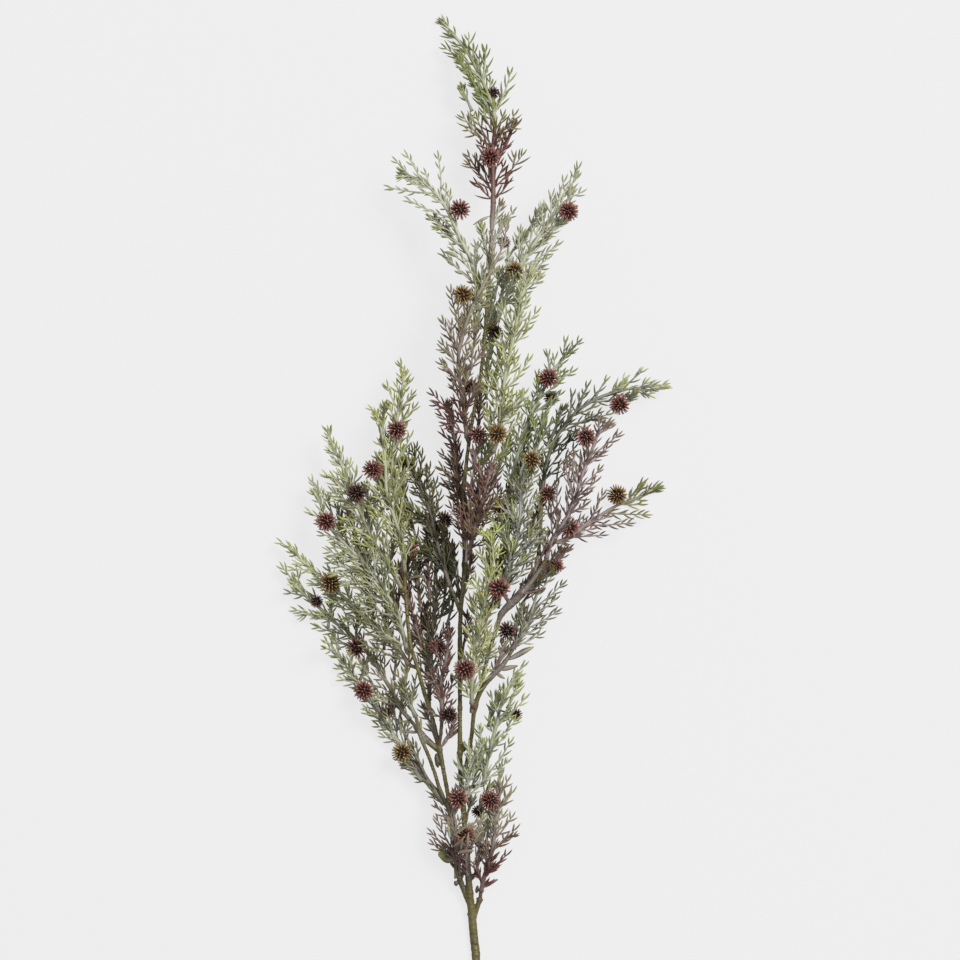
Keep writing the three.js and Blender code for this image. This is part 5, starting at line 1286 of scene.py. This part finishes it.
# Finer twiglets on both sides, a little shorter than the ones traced beside them
traced_tips = {name: [tips for _, tips in axes] for name, (_, axes) in SHOOTS.items()}
for index, (name, lines) in enumerate(shoot_lines.items()):
    draw = random_stream(FINE_SEED + index)
    inner = name in INNER_SPRIGS
    gaps = INNER_GAPS if inner else FINE_GAPS
    usual = INNER_SPRIGS[name][1] if inner else USUAL_TWIGLET
    density = THIN_SHOOTS.get(name, 1.0)
    for line, tips in zip(lines, traced_tips.get(name, [[]])):
        for side, known in known_lengths(line, tips, usual).items():
            s = FINE_START + between(draw, 0, FINE_SPACING)
            while s < line.total - FINE_END:
                length = np.interp(s, *zip(*known)) * between(draw, *FINE_SHARE)
                length = min(length, line.total - s + FINE_OVERHANG)
                angle = math.radians(between(draw, *FINE_ANGLE))
                roll = between(draw, -FINE_ROLL, FINE_ROLL)
                outward = (sideways_of(line.direction(s)) * side * math.cos(roll)
                           + Vector((0, 0, math.sin(roll))))
                add_twiglet(name, line, s, tip_beside(line, s, outward, length, angle), gaps)
                s += FINE_SPACING * between(draw, 0.75, 1.25) / density
        side = 1
        s = FINE_START + between(draw, 0, RAISED_SPACING)
        while s < line.total - FINE_END:
            length = between(draw, *RAISED_LENGTH)
            angle = math.radians(between(draw, *FINE_ANGLE))
            roll = between(draw, -RAISED_ROLL, RAISED_ROLL)
            outward = (sideways_of(line.direction(s)) * math.sin(roll)
                       + Vector((0, 0, side * math.cos(roll))))
            tip = tip_beside(line, s, outward, length, angle)
            if tip.z > FLOOR_CLEARANCE:
                add_twiglet(name, line, s, tip, gaps)
            side = -side
            s += RAISED_SPACING * between(draw, 0.75, 1.25) / density

# Long twiglets fork again
for twiglet in twiglets[:outline_twiglets]:
    line = Line(twiglet["points"])
    draw = random_stream(SPRAY_SEED + int(line.total * 10))
    if line.total < SHORTEST_SPRAYED or next(draw) > THIN_SHOOTS.get(twiglet["shoot"], 1.0):
        continue
    for side in (1, -1):
        s = line.total * between(draw, *SPRAY_SHARE)
        length = (line.total - s) * between(draw, *SPRAY_LENGTH)
        angle = math.radians(between(draw, *FINE_ANGLE))
        rise = Vector((0, 0, between(draw, -SPRAY_RISE, SPRAY_RISE)))
        outward = (sideways_of(line.direction(s)) * side + rise).normalized()
        add_twiglet(twiglet["shoot"], line, s, tip_beside(line, s, outward, length, angle),
                    FINE_GAPS, twiglet["upshoot"])


class NeedleList:
    """Needles waiting to be built together, as slim, slightly flat blades that bend inwards."""

    def __init__(self):
        self.rows = []

    def add(self, seat, forward, angle, length, lean, notes):
        sideways = Vector((-forward.y, forward.x, 0))
        if sideways.length < 1e-3:
            sideways = Vector((1, 0, 0))
        sideways.normalize()
        upward = forward.cross(sideways)
        outward = sideways * math.cos(angle) - upward * math.sin(angle)
        self.rows.append((seat[:], forward[:], outward[:], length, lean, notes))

    def build(self, gathering, breadth):
        seats, forwards, outwards, lengths, leans, notes = map(np.array, zip(*self.rows))
        lengths = lengths[:, None]
        leans = leans[:, None]
        along = forwards * np.cos(leans) + outwards * np.sin(leans)
        bulge = outwards * np.cos(leans) - forwards * np.sin(leans)
        wide = np.cross(along, bulge)
        points = []
        shares = []
        for share, width in NEEDLE_RINGS:
            centre = seats + along * lengths * share
            centre = centre + bulge * lengths * NEEDLE_INCURVE * 4 * share * (1 - share)
            half_wide = wide * NEEDLE_HALF_WIDTH * width * breadth
            half_thick = bulge * NEEDLE_HALF_THICKNESS * width
            points += [centre + corner for corner in (half_wide, half_thick,
                                                      -half_wide, -half_thick)]
            shares += [share] * 4
        points = np.stack([*points, seats + along * lengths, seats], axis=1)
        shares = np.array([*shares, 1.0, 0.0])
        quads = tube_faces(len(NEEDLE_RINGS), 4)
        fans = np.vstack([fan_faces(4 * len(NEEDLE_RINGS) - 4, 4, len(shares) - 2),
                          fan_faces(0, 4, len(shares) - 1, backward=True)])
        steps = len(shares) * np.arange(len(seats))[:, None, None]
        needle_notes = np.zeros((len(seats), len(shares), 4))
        needle_notes[:, :, [0, 1, 3]] = notes[:, None, :]
        needle_notes[:, :, 2] = shares
        gathering.add(points, quads[None] + steps, fans[None] + steps,
                      needle_notes.reshape(-1, 4), smooth=False)


def needle_length(draw, line, s, longer):
    """Needles are shorter towards the tip of their twig."""
    shorter = min(1.0, 0.6 + (line.total - s) / 50)
    return longer * shorter * between(draw, *NEEDLE_LENGTH)


def add_core(gathering, needles, draw, name, line):
    """One core of a shoot, with the needles that sit straight on it."""
    centres, places = line.spaced(CORE_RING_SPACING, TIP_FORK)
    thickness = CORE_SHRINK if name in SHOOTS else INNER_CORE_SHARE * CORE_SHRINK
    radii = np.array([core_radius(line, s) for s in places]) * thickness
    radii = radii + SLEEVE_EXTRA * np.exp(-places / SLEEVE_LENGTH)
    radii = radii * np.clip((line.total - places) / CORE_TAPER_LENGTH, CORE_TAPER_LEAST, 1.0)
    wobble = 1 + 0.07 * np.sin(places * 1.3) + 0.05 * np.sin(places * 0.57 + 1)
    notes = np.zeros((len(centres), 4))
    notes[:, 0] = places / line.total
    notes[:, 3] = next(draw)
    add_rod(gathering, centres, radii * wobble, CORE_SIDES, notes,
            line.at(line.total - CORE_POINT_SETBACK))
    longer = LONG_NEEDLES.get(name, 1.0)
    s = CORE_NEEDLE_START
    while s < line.total - TIP_FORK:
        angle = next(draw) * 2 * math.pi
        length = core_radius(line, s) + needle_length(draw, line, s, longer)
        lean = math.radians(between(draw, *NEEDLE_LEAN))
        needles.add(line.at(s), line.direction(s), angle, length, lean,
                    (s / line.total, 0.0, next(draw)))
        near_tip = (line.total - s) < CORE_TIP_LENGTH
        s += (CORE_TIP_SPACING if near_tip else CORE_NEEDLE_SPACING) * between(draw, 0.7, 1.3)
    for angle, lean in CORE_TIP_NEEDLES:
        needles.add(line.at(line.total - TIP_FORK), line.direction(line.total), angle,
                    between(draw, *TIP_NEEDLE_LENGTH), math.radians(lean),
                    (1.0, 1.0, next(draw)))


def add_twig(gathering, needles, draw, name, twiglet):
    """One twiglet with its needles and the small fork at its tip."""
    line = Line(twiglet["points"])
    upshoot = twiglet["upshoot"]
    usable = max(line.total - TIP_FORK, 3.0)
    count = max(round(usable / TWIG_RING_SPACING), 2)
    centres = [twiglet["root"], *[line.at(usable * (i + 0.4) / count) for i in range(count)],
               line.at(usable)]
    shares = np.linspace(0, 1, len(centres))
    radii = TWIG_ROOT_RADIUS + (TWIG_END_RADIUS - TWIG_ROOT_RADIUS) * shares
    radii[0] = TWIG_FOOT_RADIUS
    chance = next(draw)
    notes = np.zeros((len(centres), 4))
    notes[:, 0] = upshoot
    notes[:, 1] = shares
    notes[:, 3] = chance
    add_rod(gathering, centres, radii, TWIG_SIDES, notes, line.at(usable + TWIG_POINT_LENGTH))
    longer = LONG_NEEDLES.get(name, 1.0)
    density = THIN_SHOOTS.get(name, 1.0)
    s = between(draw, *NEEDLE_START)
    turn = 0
    while s < line.total - LAST_NEEDLE:
        angle = (NEEDLE_TURNS[turn % len(NEEDLE_TURNS)]
                 + between(draw, -NEEDLE_SWING, NEEDLE_SWING))
        length = needle_length(draw, line, s, longer)
        lean = math.radians(between(draw, *NEEDLE_LEAN))
        needles.add(line.at(s), line.direction(s), angle, length, lean,
                    (upshoot, s / line.total, 0.5 * chance + 0.5 * next(draw)))
        turn += 1
        s += NEEDLE_SPACING * between(draw, 0.7, 1.3) / density ** 0.5
    spin = between(draw, -TIP_SWING, TIP_SWING)
    for angle, lean, setback in ((spin, 26, 0.8), (spin + math.pi, 4, 0.0)):
        length = between(draw, *TIP_NEEDLE_LENGTH)
        lean = math.radians(lean * between(draw, 0.8, 1.3))
        needles.add(line.at(usable - setback), line.direction(line.total), angle, length, lean,
                    (upshoot, 1.0, 0.5 * chance + 0.5 * next(draw)))


shoot_pieces = {}
tones = {name: tone for name, (tone, _) in SHOOTS.items()}
tones |= {name: tone for name, (tone, _, _) in INNER_SPRIGS.items()}
for index, (name, tone) in enumerate(tones.items()):
    gathering = Gathering()
    needles = NeedleList()
    draw = random_stream(NEEDLE_SEED + index)
    for line in shoot_lines[name]:
        add_core(gathering, needles, draw, name, line)
    for twiglet in twiglets:
        if twiglet["shoot"] == name:
            add_twig(gathering, needles, draw, name, twiglet)
    needles.build(gathering, LONG_NEEDLES.get(name, 1.0))
    piece = gathering.made(name + "_moulding")
    shoot_pieces[name] = (piece, tone)
    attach(piece, "root")
    if name in SHOOTS:
        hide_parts(name)

# Root colour, tip colour, frost colour and frost amount of each tone of shoot
LEAF_TONES = {
    "olive": ("#6d6d48", "#999c60", "#bbbea9", 0.6),
    "lime": ("#7c7c50", "#b0b36a", "#bdc1a6", 0.52),
    "green": ("#596139", "#888f52", "#adb19d", 0.52),
    "pale": ("#757a5a", "#a0a76e", "#bfc2b2", 0.7),
    "grey": ("#57593f", "#7f8051", "#a6a59d", 0.66),
    # The dark tone is partly the shoots' own dark green and partly painted shade: it goes to the
    # sprigs low in the thick of the bunch, where shade falls
    "dark": ("#383b24", "#65663c", "#86877d", 0.4),
    "mauve": ("#5f4744", "#816e56", "#9e9191", 0.55),
    "plum": ("#583833", "#7b5950", "#95857f", 0.5),
}
# Paint sprayed over several shoots at once, and painted shade: its colour, how much it covers,
# how much frosting it hides, whether it only reached the tips, and the rows of [x, y, height,
# reach, strength] where it lies
COATS = {
    # Painted shade, darkening the inside and the lower layer of the bunch where shade falls
    # between the shoots
    "painted_deep_shade": ("#54493a", 0.72, 0.4, False, [
        [52, 372, 30, 44, 0.65], [-50, 485, 30, 46, 0.9], [-60, 370, 20, 60, 0.65],
        [-100, 385, 20, 40, 0.3], [50, 480, 40, 44, 0.25], [-10, 440, 40, 40, 0.3]]),
    "lime": ("#bdc777", 0.8, 0.3, True, [
        [18, 440, 75, 40, 1.0], [34, 615, 70, 30, 0.8], [60, 270, 60, 60, 0.8],
        [155, 592, 20, 38, 1.0], [-170, 400, 10, 50, 0.8], [-145, 500, 20, 44, 0.8],
        [-105, 290, 10, 50, 0.9], [26, 180, 30, 50, 0.6], [-38, 125, 15, 12, 1.0],
        [-110, 470, 50, 60, 0.5], [-125, 410, 15, 50, 0.5]]),
    "olive": ("#8c8d56", 0.9, 0.2, False, [
        [100, 505, 40, 20, 0.6], [165, 490, 10, 30, 0.9],
        [130, 545, 20, 26, 0.7]]),
    "frost": ("#b9baa3", 0.7, 0.0, False, [
        [15, 720, 50, 44, 1.0], [10, 210, 30, 36, 0.5], [0, 165, 25, 40, 0.7],
        [-20, 155, 26, 24, 0.7], [-60, 800, 50, 40, 0.5], [80, 770, 55, 44, 0.8],
        [-30, 640, 76, 44, 0.3], [-150, 505, 15, 50, 0.8], [-70, 240, 25, 40, 0.6],
        [12, 700, 64, 44, 1.0], [150, 590, 20, 50, 0.5], [-100, 300, 15, 50, 0.5],
        [-10, 200, 26, 30, 0.7], [-165, 400, 15, 50, 0.4], [35, 320, 45, 40, 0.4]]),
    "green": ("#858c53", 0.85, 0.3, False, [
        [-12, 915, 35, 44, 1.0], [10, 885, 40, 30, 0.9], [170, 485, 10, 40, 0.7],
        [8, 692, 78, 30, 0.7], [-8, 668, 78, 22, 0.6]]),
    "moss": ("#90945f", 0.9, 0.1, True, [
        [-28, 640, 76, 60, 1.0], [-20, 580, 70, 36, 0.8], [-45, 500, 40, 30, 0.4],
        [-100, 285, 15, 56, 0.7]]),
    "plum": ("#643937", 0.92, 0.9, False, [
        [20, 112, 22, 24, 1.0], [36, 130, 26, 20, 1.0], [-22, 132, 30, 16, 0.5],
        [13, 800, 50, 34, 1.0], [10, 832, 46, 24, 1.0], [26, 850, 42, 14, 0.8],
        [-35, 570, 60, 30, 0.7], [14, 420, 40, 22, 0.5], [-8, 790, 46, 14, 0.8],
        [-36, 760, 44, 12, 0.9], [-85, 300, 20, 40, 0.45], [-10, 470, 50, 34, 0.4],
        # These two rows lie below the floor and reach only the low layer on the left: partly the
        # undergrowth's own plum and partly painted shade between the shoots there
        [-100, 430, -20, 45, 0.8], [-80, 370, -20, 45, 0.7]]),
}
LEAF_SHINE = 0.4
LEAF_GRAIN = 0.12
LEAF_SPECKS = 420.0
LEAF_ROUGHNESS = 0.46
FROST_ROUGHNESS = 0.3
TWIG_BROWN = "#77695f"
TIP_BROWN = "#8a7350"

leaf_colours, tree, given, gives = effect_group(
    "leaf_colours", [("Root", "Color"), ("Tip", "Color"), ("Frost", "Color"),
                     ("Frosting", "Float")],
    [("Color", "Color"), ("Height", "Float"), ("Roughness", "Float")])
upshoot, outward, needle, chance = [tree.note(note) for note in Gathering.NOTES]
clouds = tree.noise(55.0)
grain = tree.noise(900.0)
turning = tree.weighed((needle, 0.38), (outward, 0.30), (upshoot, 0.22),
                       (tree.minus(clouds, 0.5), 0.9), (tree.minus(chance, 0.5), 0.45))
colour = tree.mix(tree.between(turning, 0.05, 0.85), given["Root"], given["Tip"])
bare = tree.plus(tree.between(needle, 0.05, 0.6, 0.0, 0.85), tree.times(outward, 0.25))
tipward = tree.between(turning, 0.2, 0.8)
for coat, (paint, cover, hides, tips_only, _) in COATS.items():
    laid = tree.times(tree.note(coat), tree.between(clouds, 0.2, 0.5, 0.55, 1.0))
    if tips_only:
        laid = tree.times(laid, tipward)
    colour = tree.mix(tree.times(laid, cover, clamp=True), colour, linear(paint))
    bare = tree.plus(bare, tree.times(laid, hides))

# The foot of a shoot's core is brown like the wood, and so are some needle tips
barked = tree.times(tree.between(upshoot, 0.0, 0.4, 1.0, 0.0),
                    tree.between(outward, 0.0, 0.1, 1.0, 0.0))
barked = tree.times(barked, tree.between(needle, 0.0, 0.1, 0.7, 0.0))
colour = tree.mix(barked, colour, linear(TWIG_BROWN))
bare = tree.plus(bare, tree.times(barked, 0.7))
brown_tips = tree.times(tree.between(chance, 0.8, 0.95), tree.between(needle, 0.5, 1.0))
colour = tree.mix(tree.times(brown_tips, 0.35), colour, linear(TIP_BROWN))
amount = tree.times(given["Frosting"], tree.minus(1.4, bare), clamp=True)
frosted = tree.node("ShaderNodeGroup", {"Color": colour, "Frost": given["Frost"],
                                        "Amount": amount, "Scale": LEAF_SPECKS},
                    node_tree=frosting)
specks = frosted.outputs["Height"]
tree.link(frosted.outputs["Color"], gives["Color"])
tree.link(tree.plus(grain, specks), gives["Height"])
tree.link(tree.plus(LEAF_ROUGHNESS, tree.times(specks, FROST_ROUGHNESS)), gives["Roughness"])

leaf_materials = {}
for tone, (root, tip, frost, amount) in LEAF_TONES.items():
    material, tree, shader = new_material("leaf_" + tone)
    leaf = tree.node("ShaderNodeGroup", {"Root": linear(root), "Tip": linear(tip),
                                         "Frost": linear(frost), "Frosting": amount},
                     node_tree=leaf_colours)
    finish_surface(tree, shader, leaf.outputs["Color"], leaf.outputs["Height"], LEAF_GRAIN,
                   leaf.outputs["Roughness"])
    shader.inputs["Specular IOR Level"].default_value = LEAF_SHINE
    leaf_materials[tone] = material


def spray_coats(piece, tone):
    for coat, (_, _, _, _, stretches) in COATS.items():
        stretch_note(piece.data, coat, stretches)
    piece.data.materials.append(leaf_materials[tone])


for piece, tone in shoot_pieces.values():
    spray_coats(piece, tone)

# The berries are burrs: a small ball of hard plastic set all round with thin blunt spikes. Each
# one is pushed with its stalk on a shoot, and was dyed red-brown, brown-black or gold.
SPIKE_COUNT = 84
SPIKE_SIDES = 5
SPIKE_ROOT_RADIUS = 0.86
SPIKE_END_RADIUS = 0.5
SPIKE_LENGTH = (0.92, 1.06)
SPIKE_SHARES = np.array([0.0, 0.5, 0.93])
SPIKE_SUNK = 0.8
SPIKE_SWING = 0.12
USUAL_BURR = 11
BURR_CORE_SHARE = 0.42
BURR_RELIEF = 0.15
BURR_ROUGHNESS = (0.36, 0.5)
FULL_TURN = 6.28
STALK_SIDES = 7
STALK_JOINT = 0.6
BERRY_STALK = (1.3, 1.0, 1.1)
SMALL_STALK = (1.0, 0.8, 0.9)
STALK_NOTES = (0, 0, 0.3, 0.3)
BERRY_SEED = 20105
GOLDEN_TURN = math.pi * (3 - math.sqrt(5))
BERRY_TONES = {
    "brown": ("#3c221d", "#845047", "#b9988a"),
    "gold": ("#42291d", "#86683f", "#bcb67a"),
    "dark": ("#221513", "#523730", "#9a8070"),
}
# Burrs that are smaller or half hidden: [x, y, height, radius, tone]
SMALL_BURRS = [[15, 647, 50, 8, "dark"], [71, 582, 44, 8, "dark"], [-77, 517, 40, 8, "dark"],
               [76, 414, 40, 8, "brown"], [-163, 379, 22, 7, "dark"], [-119, 410, 24, 9, "brown"],
               [-93, 268, 24, 7, "dark"], [36, 266, 42, 7, "dark"], [-2, 169, 18, 7, "dark"],
               [-69, 431, 40, 8, "brown"], [-10, 465, 46, 8, "dark"], [25, 427, 62, 7, "gold"],
               [24, 737, 50, 7, "dark"], [13, 886, 30, 7, "dark"]]

burr_colours, tree, given, gives = effect_group(
    "burr_colours", [("Heart", "Color"), ("Spike", "Color"), ("Tip", "Color")],
    [("Color", "Color"), ("Height", "Float")])
spike = tree.note("needle")
colour = tree.mix(tree.between(spike, 0.05, 0.75), given["Heart"], given["Spike"])
tipped = tree.times(tree.between(spike, 0.6, 1.0), tree.between(tree.note("chance"), 0.2, 0.9))
colour = tree.mix(tree.times(tipped, 0.8), colour, given["Tip"])
tree.link(colour, gives["Color"])
tree.link(tree.noise(700.0), gives["Height"])

berry_materials = {}
for tone, (heart, spike, tip) in BERRY_TONES.items():
    material, tree, shader = new_material("berry_" + tone)
    burr = tree.node("ShaderNodeGroup", {"Heart": linear(heart), "Spike": linear(spike),
                                         "Tip": linear(tip)}, node_tree=burr_colours)
    finish_surface(tree, shader, burr.outputs["Color"], burr.outputs["Height"], BURR_RELIEF,
                   tree.between(burr.outputs["Height"], 0.3, 0.7, *BURR_ROUGHNESS))
    berry_materials[tone] = material


def made_burr(name, centre, radius, seed, seat, stalk_radii, tone):
    """A burr with its stalk, as a piece with its material."""
    gathering = Gathering()
    draw = random_stream(seed)
    turn = Matrix.Rotation(between(draw, 0, FULL_TURN), 3, "Z")
    turn = turn @ Matrix.Rotation(between(draw, 0, FULL_TURN), 3, "X")
    core = radius * BURR_CORE_SHARE
    add_ball(gathering, centre, (core, core, core), turn.to_quaternion(), (0, 0, 0, next(draw)))
    foot = core * SPIKE_SUNK
    radii = SPIKE_ROOT_RADIUS + (SPIKE_END_RADIUS - SPIKE_ROOT_RADIUS) * SPIKE_SHARES
    for i in range(SPIKE_COUNT):
        height = 1 - 2 * (i + 0.5) / SPIKE_COUNT
        width = math.sqrt(1 - height ** 2)
        turned = i * GOLDEN_TURN + between(draw, -SPIKE_SWING, SPIKE_SWING)
        facing = turn @ Vector((width * math.cos(turned), width * math.sin(turned), height))
        length = radius * between(draw, *SPIKE_LENGTH)
        centres = [centre + facing * (foot + (length - foot) * s) for s in SPIKE_SHARES]
        notes = np.zeros((len(centres), 4))
        notes[:, 2] = SPIKE_SHARES
        notes[:, 3] = next(draw)
        add_rod(gathering, centres, radii * radius / USUAL_BURR, SPIKE_SIDES, notes,
                centre + facing * length)
    add_rod(gathering, [centre, centre.lerp(seat, STALK_JOINT), seat], stalk_radii, STALK_SIDES,
            STALK_NOTES)
    piece = gathering.made(name)
    piece.data.materials.append(berry_materials[tone])
    return piece


for number, (name, centre, radius, tone, seat) in enumerate(berries):
    piece = made_burr(name + "_burr", centre, radius, BERRY_SEED + number, seat, BERRY_STALK,
                      tone)
    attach(piece, "root")
    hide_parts(name)

core_points = [point for lines in shoot_lines.values() for line in lines for point in line.points]
for number, (x, y, z, radius, tone) in enumerate(SMALL_BURRS, start=1):
    centre = Vector((x, y, z))
    seat = min(core_points, key=lambda point: (point - centre).length)
    piece = made_burr(f"small_burr_{number:02d}", centre, radius, BERRY_SEED + 100 + number,
                      seat, SMALL_STALK, tone)
    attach(piece, "root")

# A few single leaves sit straight on the wood: slim soft plastic blades dyed brown or green,
# each moulded with its own foot, and one rounded lime flap low on the left fork. A row is tone,
# root, tip and half width.
LEAF_STEPS = 12
LEAF_SIDES = 12
LEAF_THICKNESS = 0.35
LEAF_LAST_STEP = 0.96
LEAF_BOW = 0.1
LEAF_LEAST_WIDTH = 0.1
LEAF_FOOT_SHARE = 0.22
LEAF_WIDEST = 0.8
LEAF_SEED = NEEDLE_SEED + 500
SINGLE_LEAVES = {
    "right_leaf_1": ("mauve", [28, 321, 53], [54, 334, 50], 2.6),
    "right_leaf_2": ("mauve", [19, 311, 52], [38, 315, 49], 2.3),
    "right_leaf_3": ("mauve", [36, 326, 52], [50, 334, 51], 2.0),
    "right_leaf_4": ("plum", [16, 308, 52], [25, 302, 50], 1.7),
    "left_leaf_1": ("mauve", [-62, 248, 30], [-77, 249, 27], 1.5),
    "left_leaf_2": ("mauve", [-68, 258, 28], [-80, 259, 26], 1.3),
    "left_leaf_3": ("green", [-79, 245, 20], [-81, 264, 22], 1.5),
    "left_leaf_4": ("green", [-68, 226, 17], [-74, 246, 20], 1.7),
    "left_leaf_5": ("green", [-59, 262, 30], [-58, 250, 34], 1.2),
    "left_leaf_6": ("plum", [-60, 318, 42], [-54, 320, 44], 1.4),
    "left_leaf_7": ("mauve", [-70, 402, 30], [-54, 404, 32], 1.9),
    "low_leaf_1": ("plum", [4, 93, 14], [18, 101, 13], 1.8),
    "low_leaf_2": ("plum", [7, 107, 15], [20, 114, 15], 1.7),
    "low_leaf_3": ("mauve", [10, 118, 17], [20, 129, 18], 1.6),
    "low_leaf_4": ("plum", [3, 96, 14], [-6, 115, 17], 1.1),
    "low_leaf_5": ("green", [-29, 144, 50], [-8, 159, 58], 1.4),
    "low_leaf_6": ("plum", [-22, 129, 46], [-6, 131, 50], 2.3),
    "low_leaf_7": ("plum", [-33, 151, 48], [-20, 144, 59], 1.7),
    "low_leaf_8": ("pale", [-30, 143, 50], [-32, 157, 56], 1.4),
    "leader_leaf_1": ("pale", [10, 763, 52], [-7, 754, 50], 1.3),
    "lime_flap": ("lime", [-25, 121, 15], [-42, 127, 15], 6.4),
    "right_leaf_5": ("plum", [0, 312, 54], [20, 310, 54], 1.3),
    "right_leaf_6": ("mauve", [20, 330, 54], [30, 344, 56], 1.6),
    "right_leaf_7": ("plum", [42, 387, 59], [66, 393, 56], 1.6),
    "upper_leaf_1": ("olive", [-22, 722, 58], [-36, 727, 60], 1.9),
    "low_leaf_9": ("plum", [-27, 135, 50], [-15, 146, 61], 1.6),
    "low_leaf_10": ("plum", [-28, 140, 50], [-22, 155, 59], 1.5),
    "low_leaf_11": ("mauve", [-12, 134, 50], [-11, 150, 62], 1.5),
    "low_leaf_12": ("plum", [-7, 137, 48], [1, 150, 57], 1.6),
    "low_leaf_13": ("mauve", [-19, 132, 50], [-17, 143, 61], 1.6),
}

for number, (name, (tone, root, tip, half_width)) in enumerate(SINGLE_LEAVES.items()):
    gathering = Gathering()
    draw = random_stream(LEAF_SEED + number)
    root = Vector(root)
    tip = Vector(tip)
    shares = np.linspace(0.0, LEAF_LAST_STEP, LEAF_STEPS)
    bow = (tip - root).length * LEAF_BOW
    sideways = (tip - root).cross(Vector((0, 0, 1))).normalized() * between(draw, -0.5, 0.5)
    centres = [root.lerp(tip, s) + (Vector((0, 0, 1)) + sideways) * bow * 4 * s * (1 - s)
               for s in shares]
    swell = np.sin(np.pi * shares ** LEAF_WIDEST)
    widths = half_width * (LEAF_FOOT_SHARE + (1 - LEAF_FOOT_SHARE) * swell) + LEAF_LEAST_WIDTH
    angles = 2 * np.pi * np.arange(LEAF_SIDES) / LEAF_SIDES
    radii = 1 / np.sqrt((np.cos(angles)[None, :] / LEAF_THICKNESS) ** 2
                        + (np.sin(angles)[None, :] / widths[:, None]) ** 2)
    notes = np.zeros((LEAF_STEPS, 4))
    notes[:, 0] = 0.5
    notes[:, 1] = 0.4
    notes[:, 2] = shares
    notes[:, 3] = next(draw)
    add_rod(gathering, centres, radii, LEAF_SIDES, notes, tip)
    piece = gathering.made(name)
    spray_coats(piece, tone)
    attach(piece, "root")

# Three soft plastic sleeves hide the joint where a shoot meets the wood, slipped over both and
# slightly ribbed. A row of a sleeve is [x, y, height, radius].
SLEEVE_SIDES = 12
SLEEVE_RING_SPACING = 2.0
SLEEVE_RIBS = 0.05
SLEEVE_NOTES = (0.1, 0.0, 0.0, 0.5)
SLEEVES = {
    "lower_left_sleeve": ("dark", [[-36, 176, 18, 2.2], [-44, 188, 17, 3.1], [-52, 199, 16, 2.7],
                                   [-62, 213, 15, 2.1], [-71, 224, 15, 1.7]]),
    "main_sleeve": ("plum", [[-8, 268, 45, 2.6], [-7, 274, 46, 3.1], [-6, 281, 48, 2.7]]),
    "leader_sleeve": ("mauve", [[12, 748, 53.5, 2.0], [12, 758, 53, 2.5], [13, 770, 52.5, 2.7],
                                [13, 784, 51.5, 2.4]]),
}

for name, (tone, path) in SLEEVES.items():
    gathering = Gathering()
    line = Line.through(path)
    centres, places = line.spaced(SLEEVE_RING_SPACING)
    radii = line.widths_at(places, path) * (1 + SLEEVE_RIBS * np.sin(places * 1.9))
    add_rod(gathering, centres, radii, SLEEVE_SIDES, SLEEVE_NOTES)
    piece = gathering.made(name)
    spray_coats(piece, tone)
    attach(piece, "root")
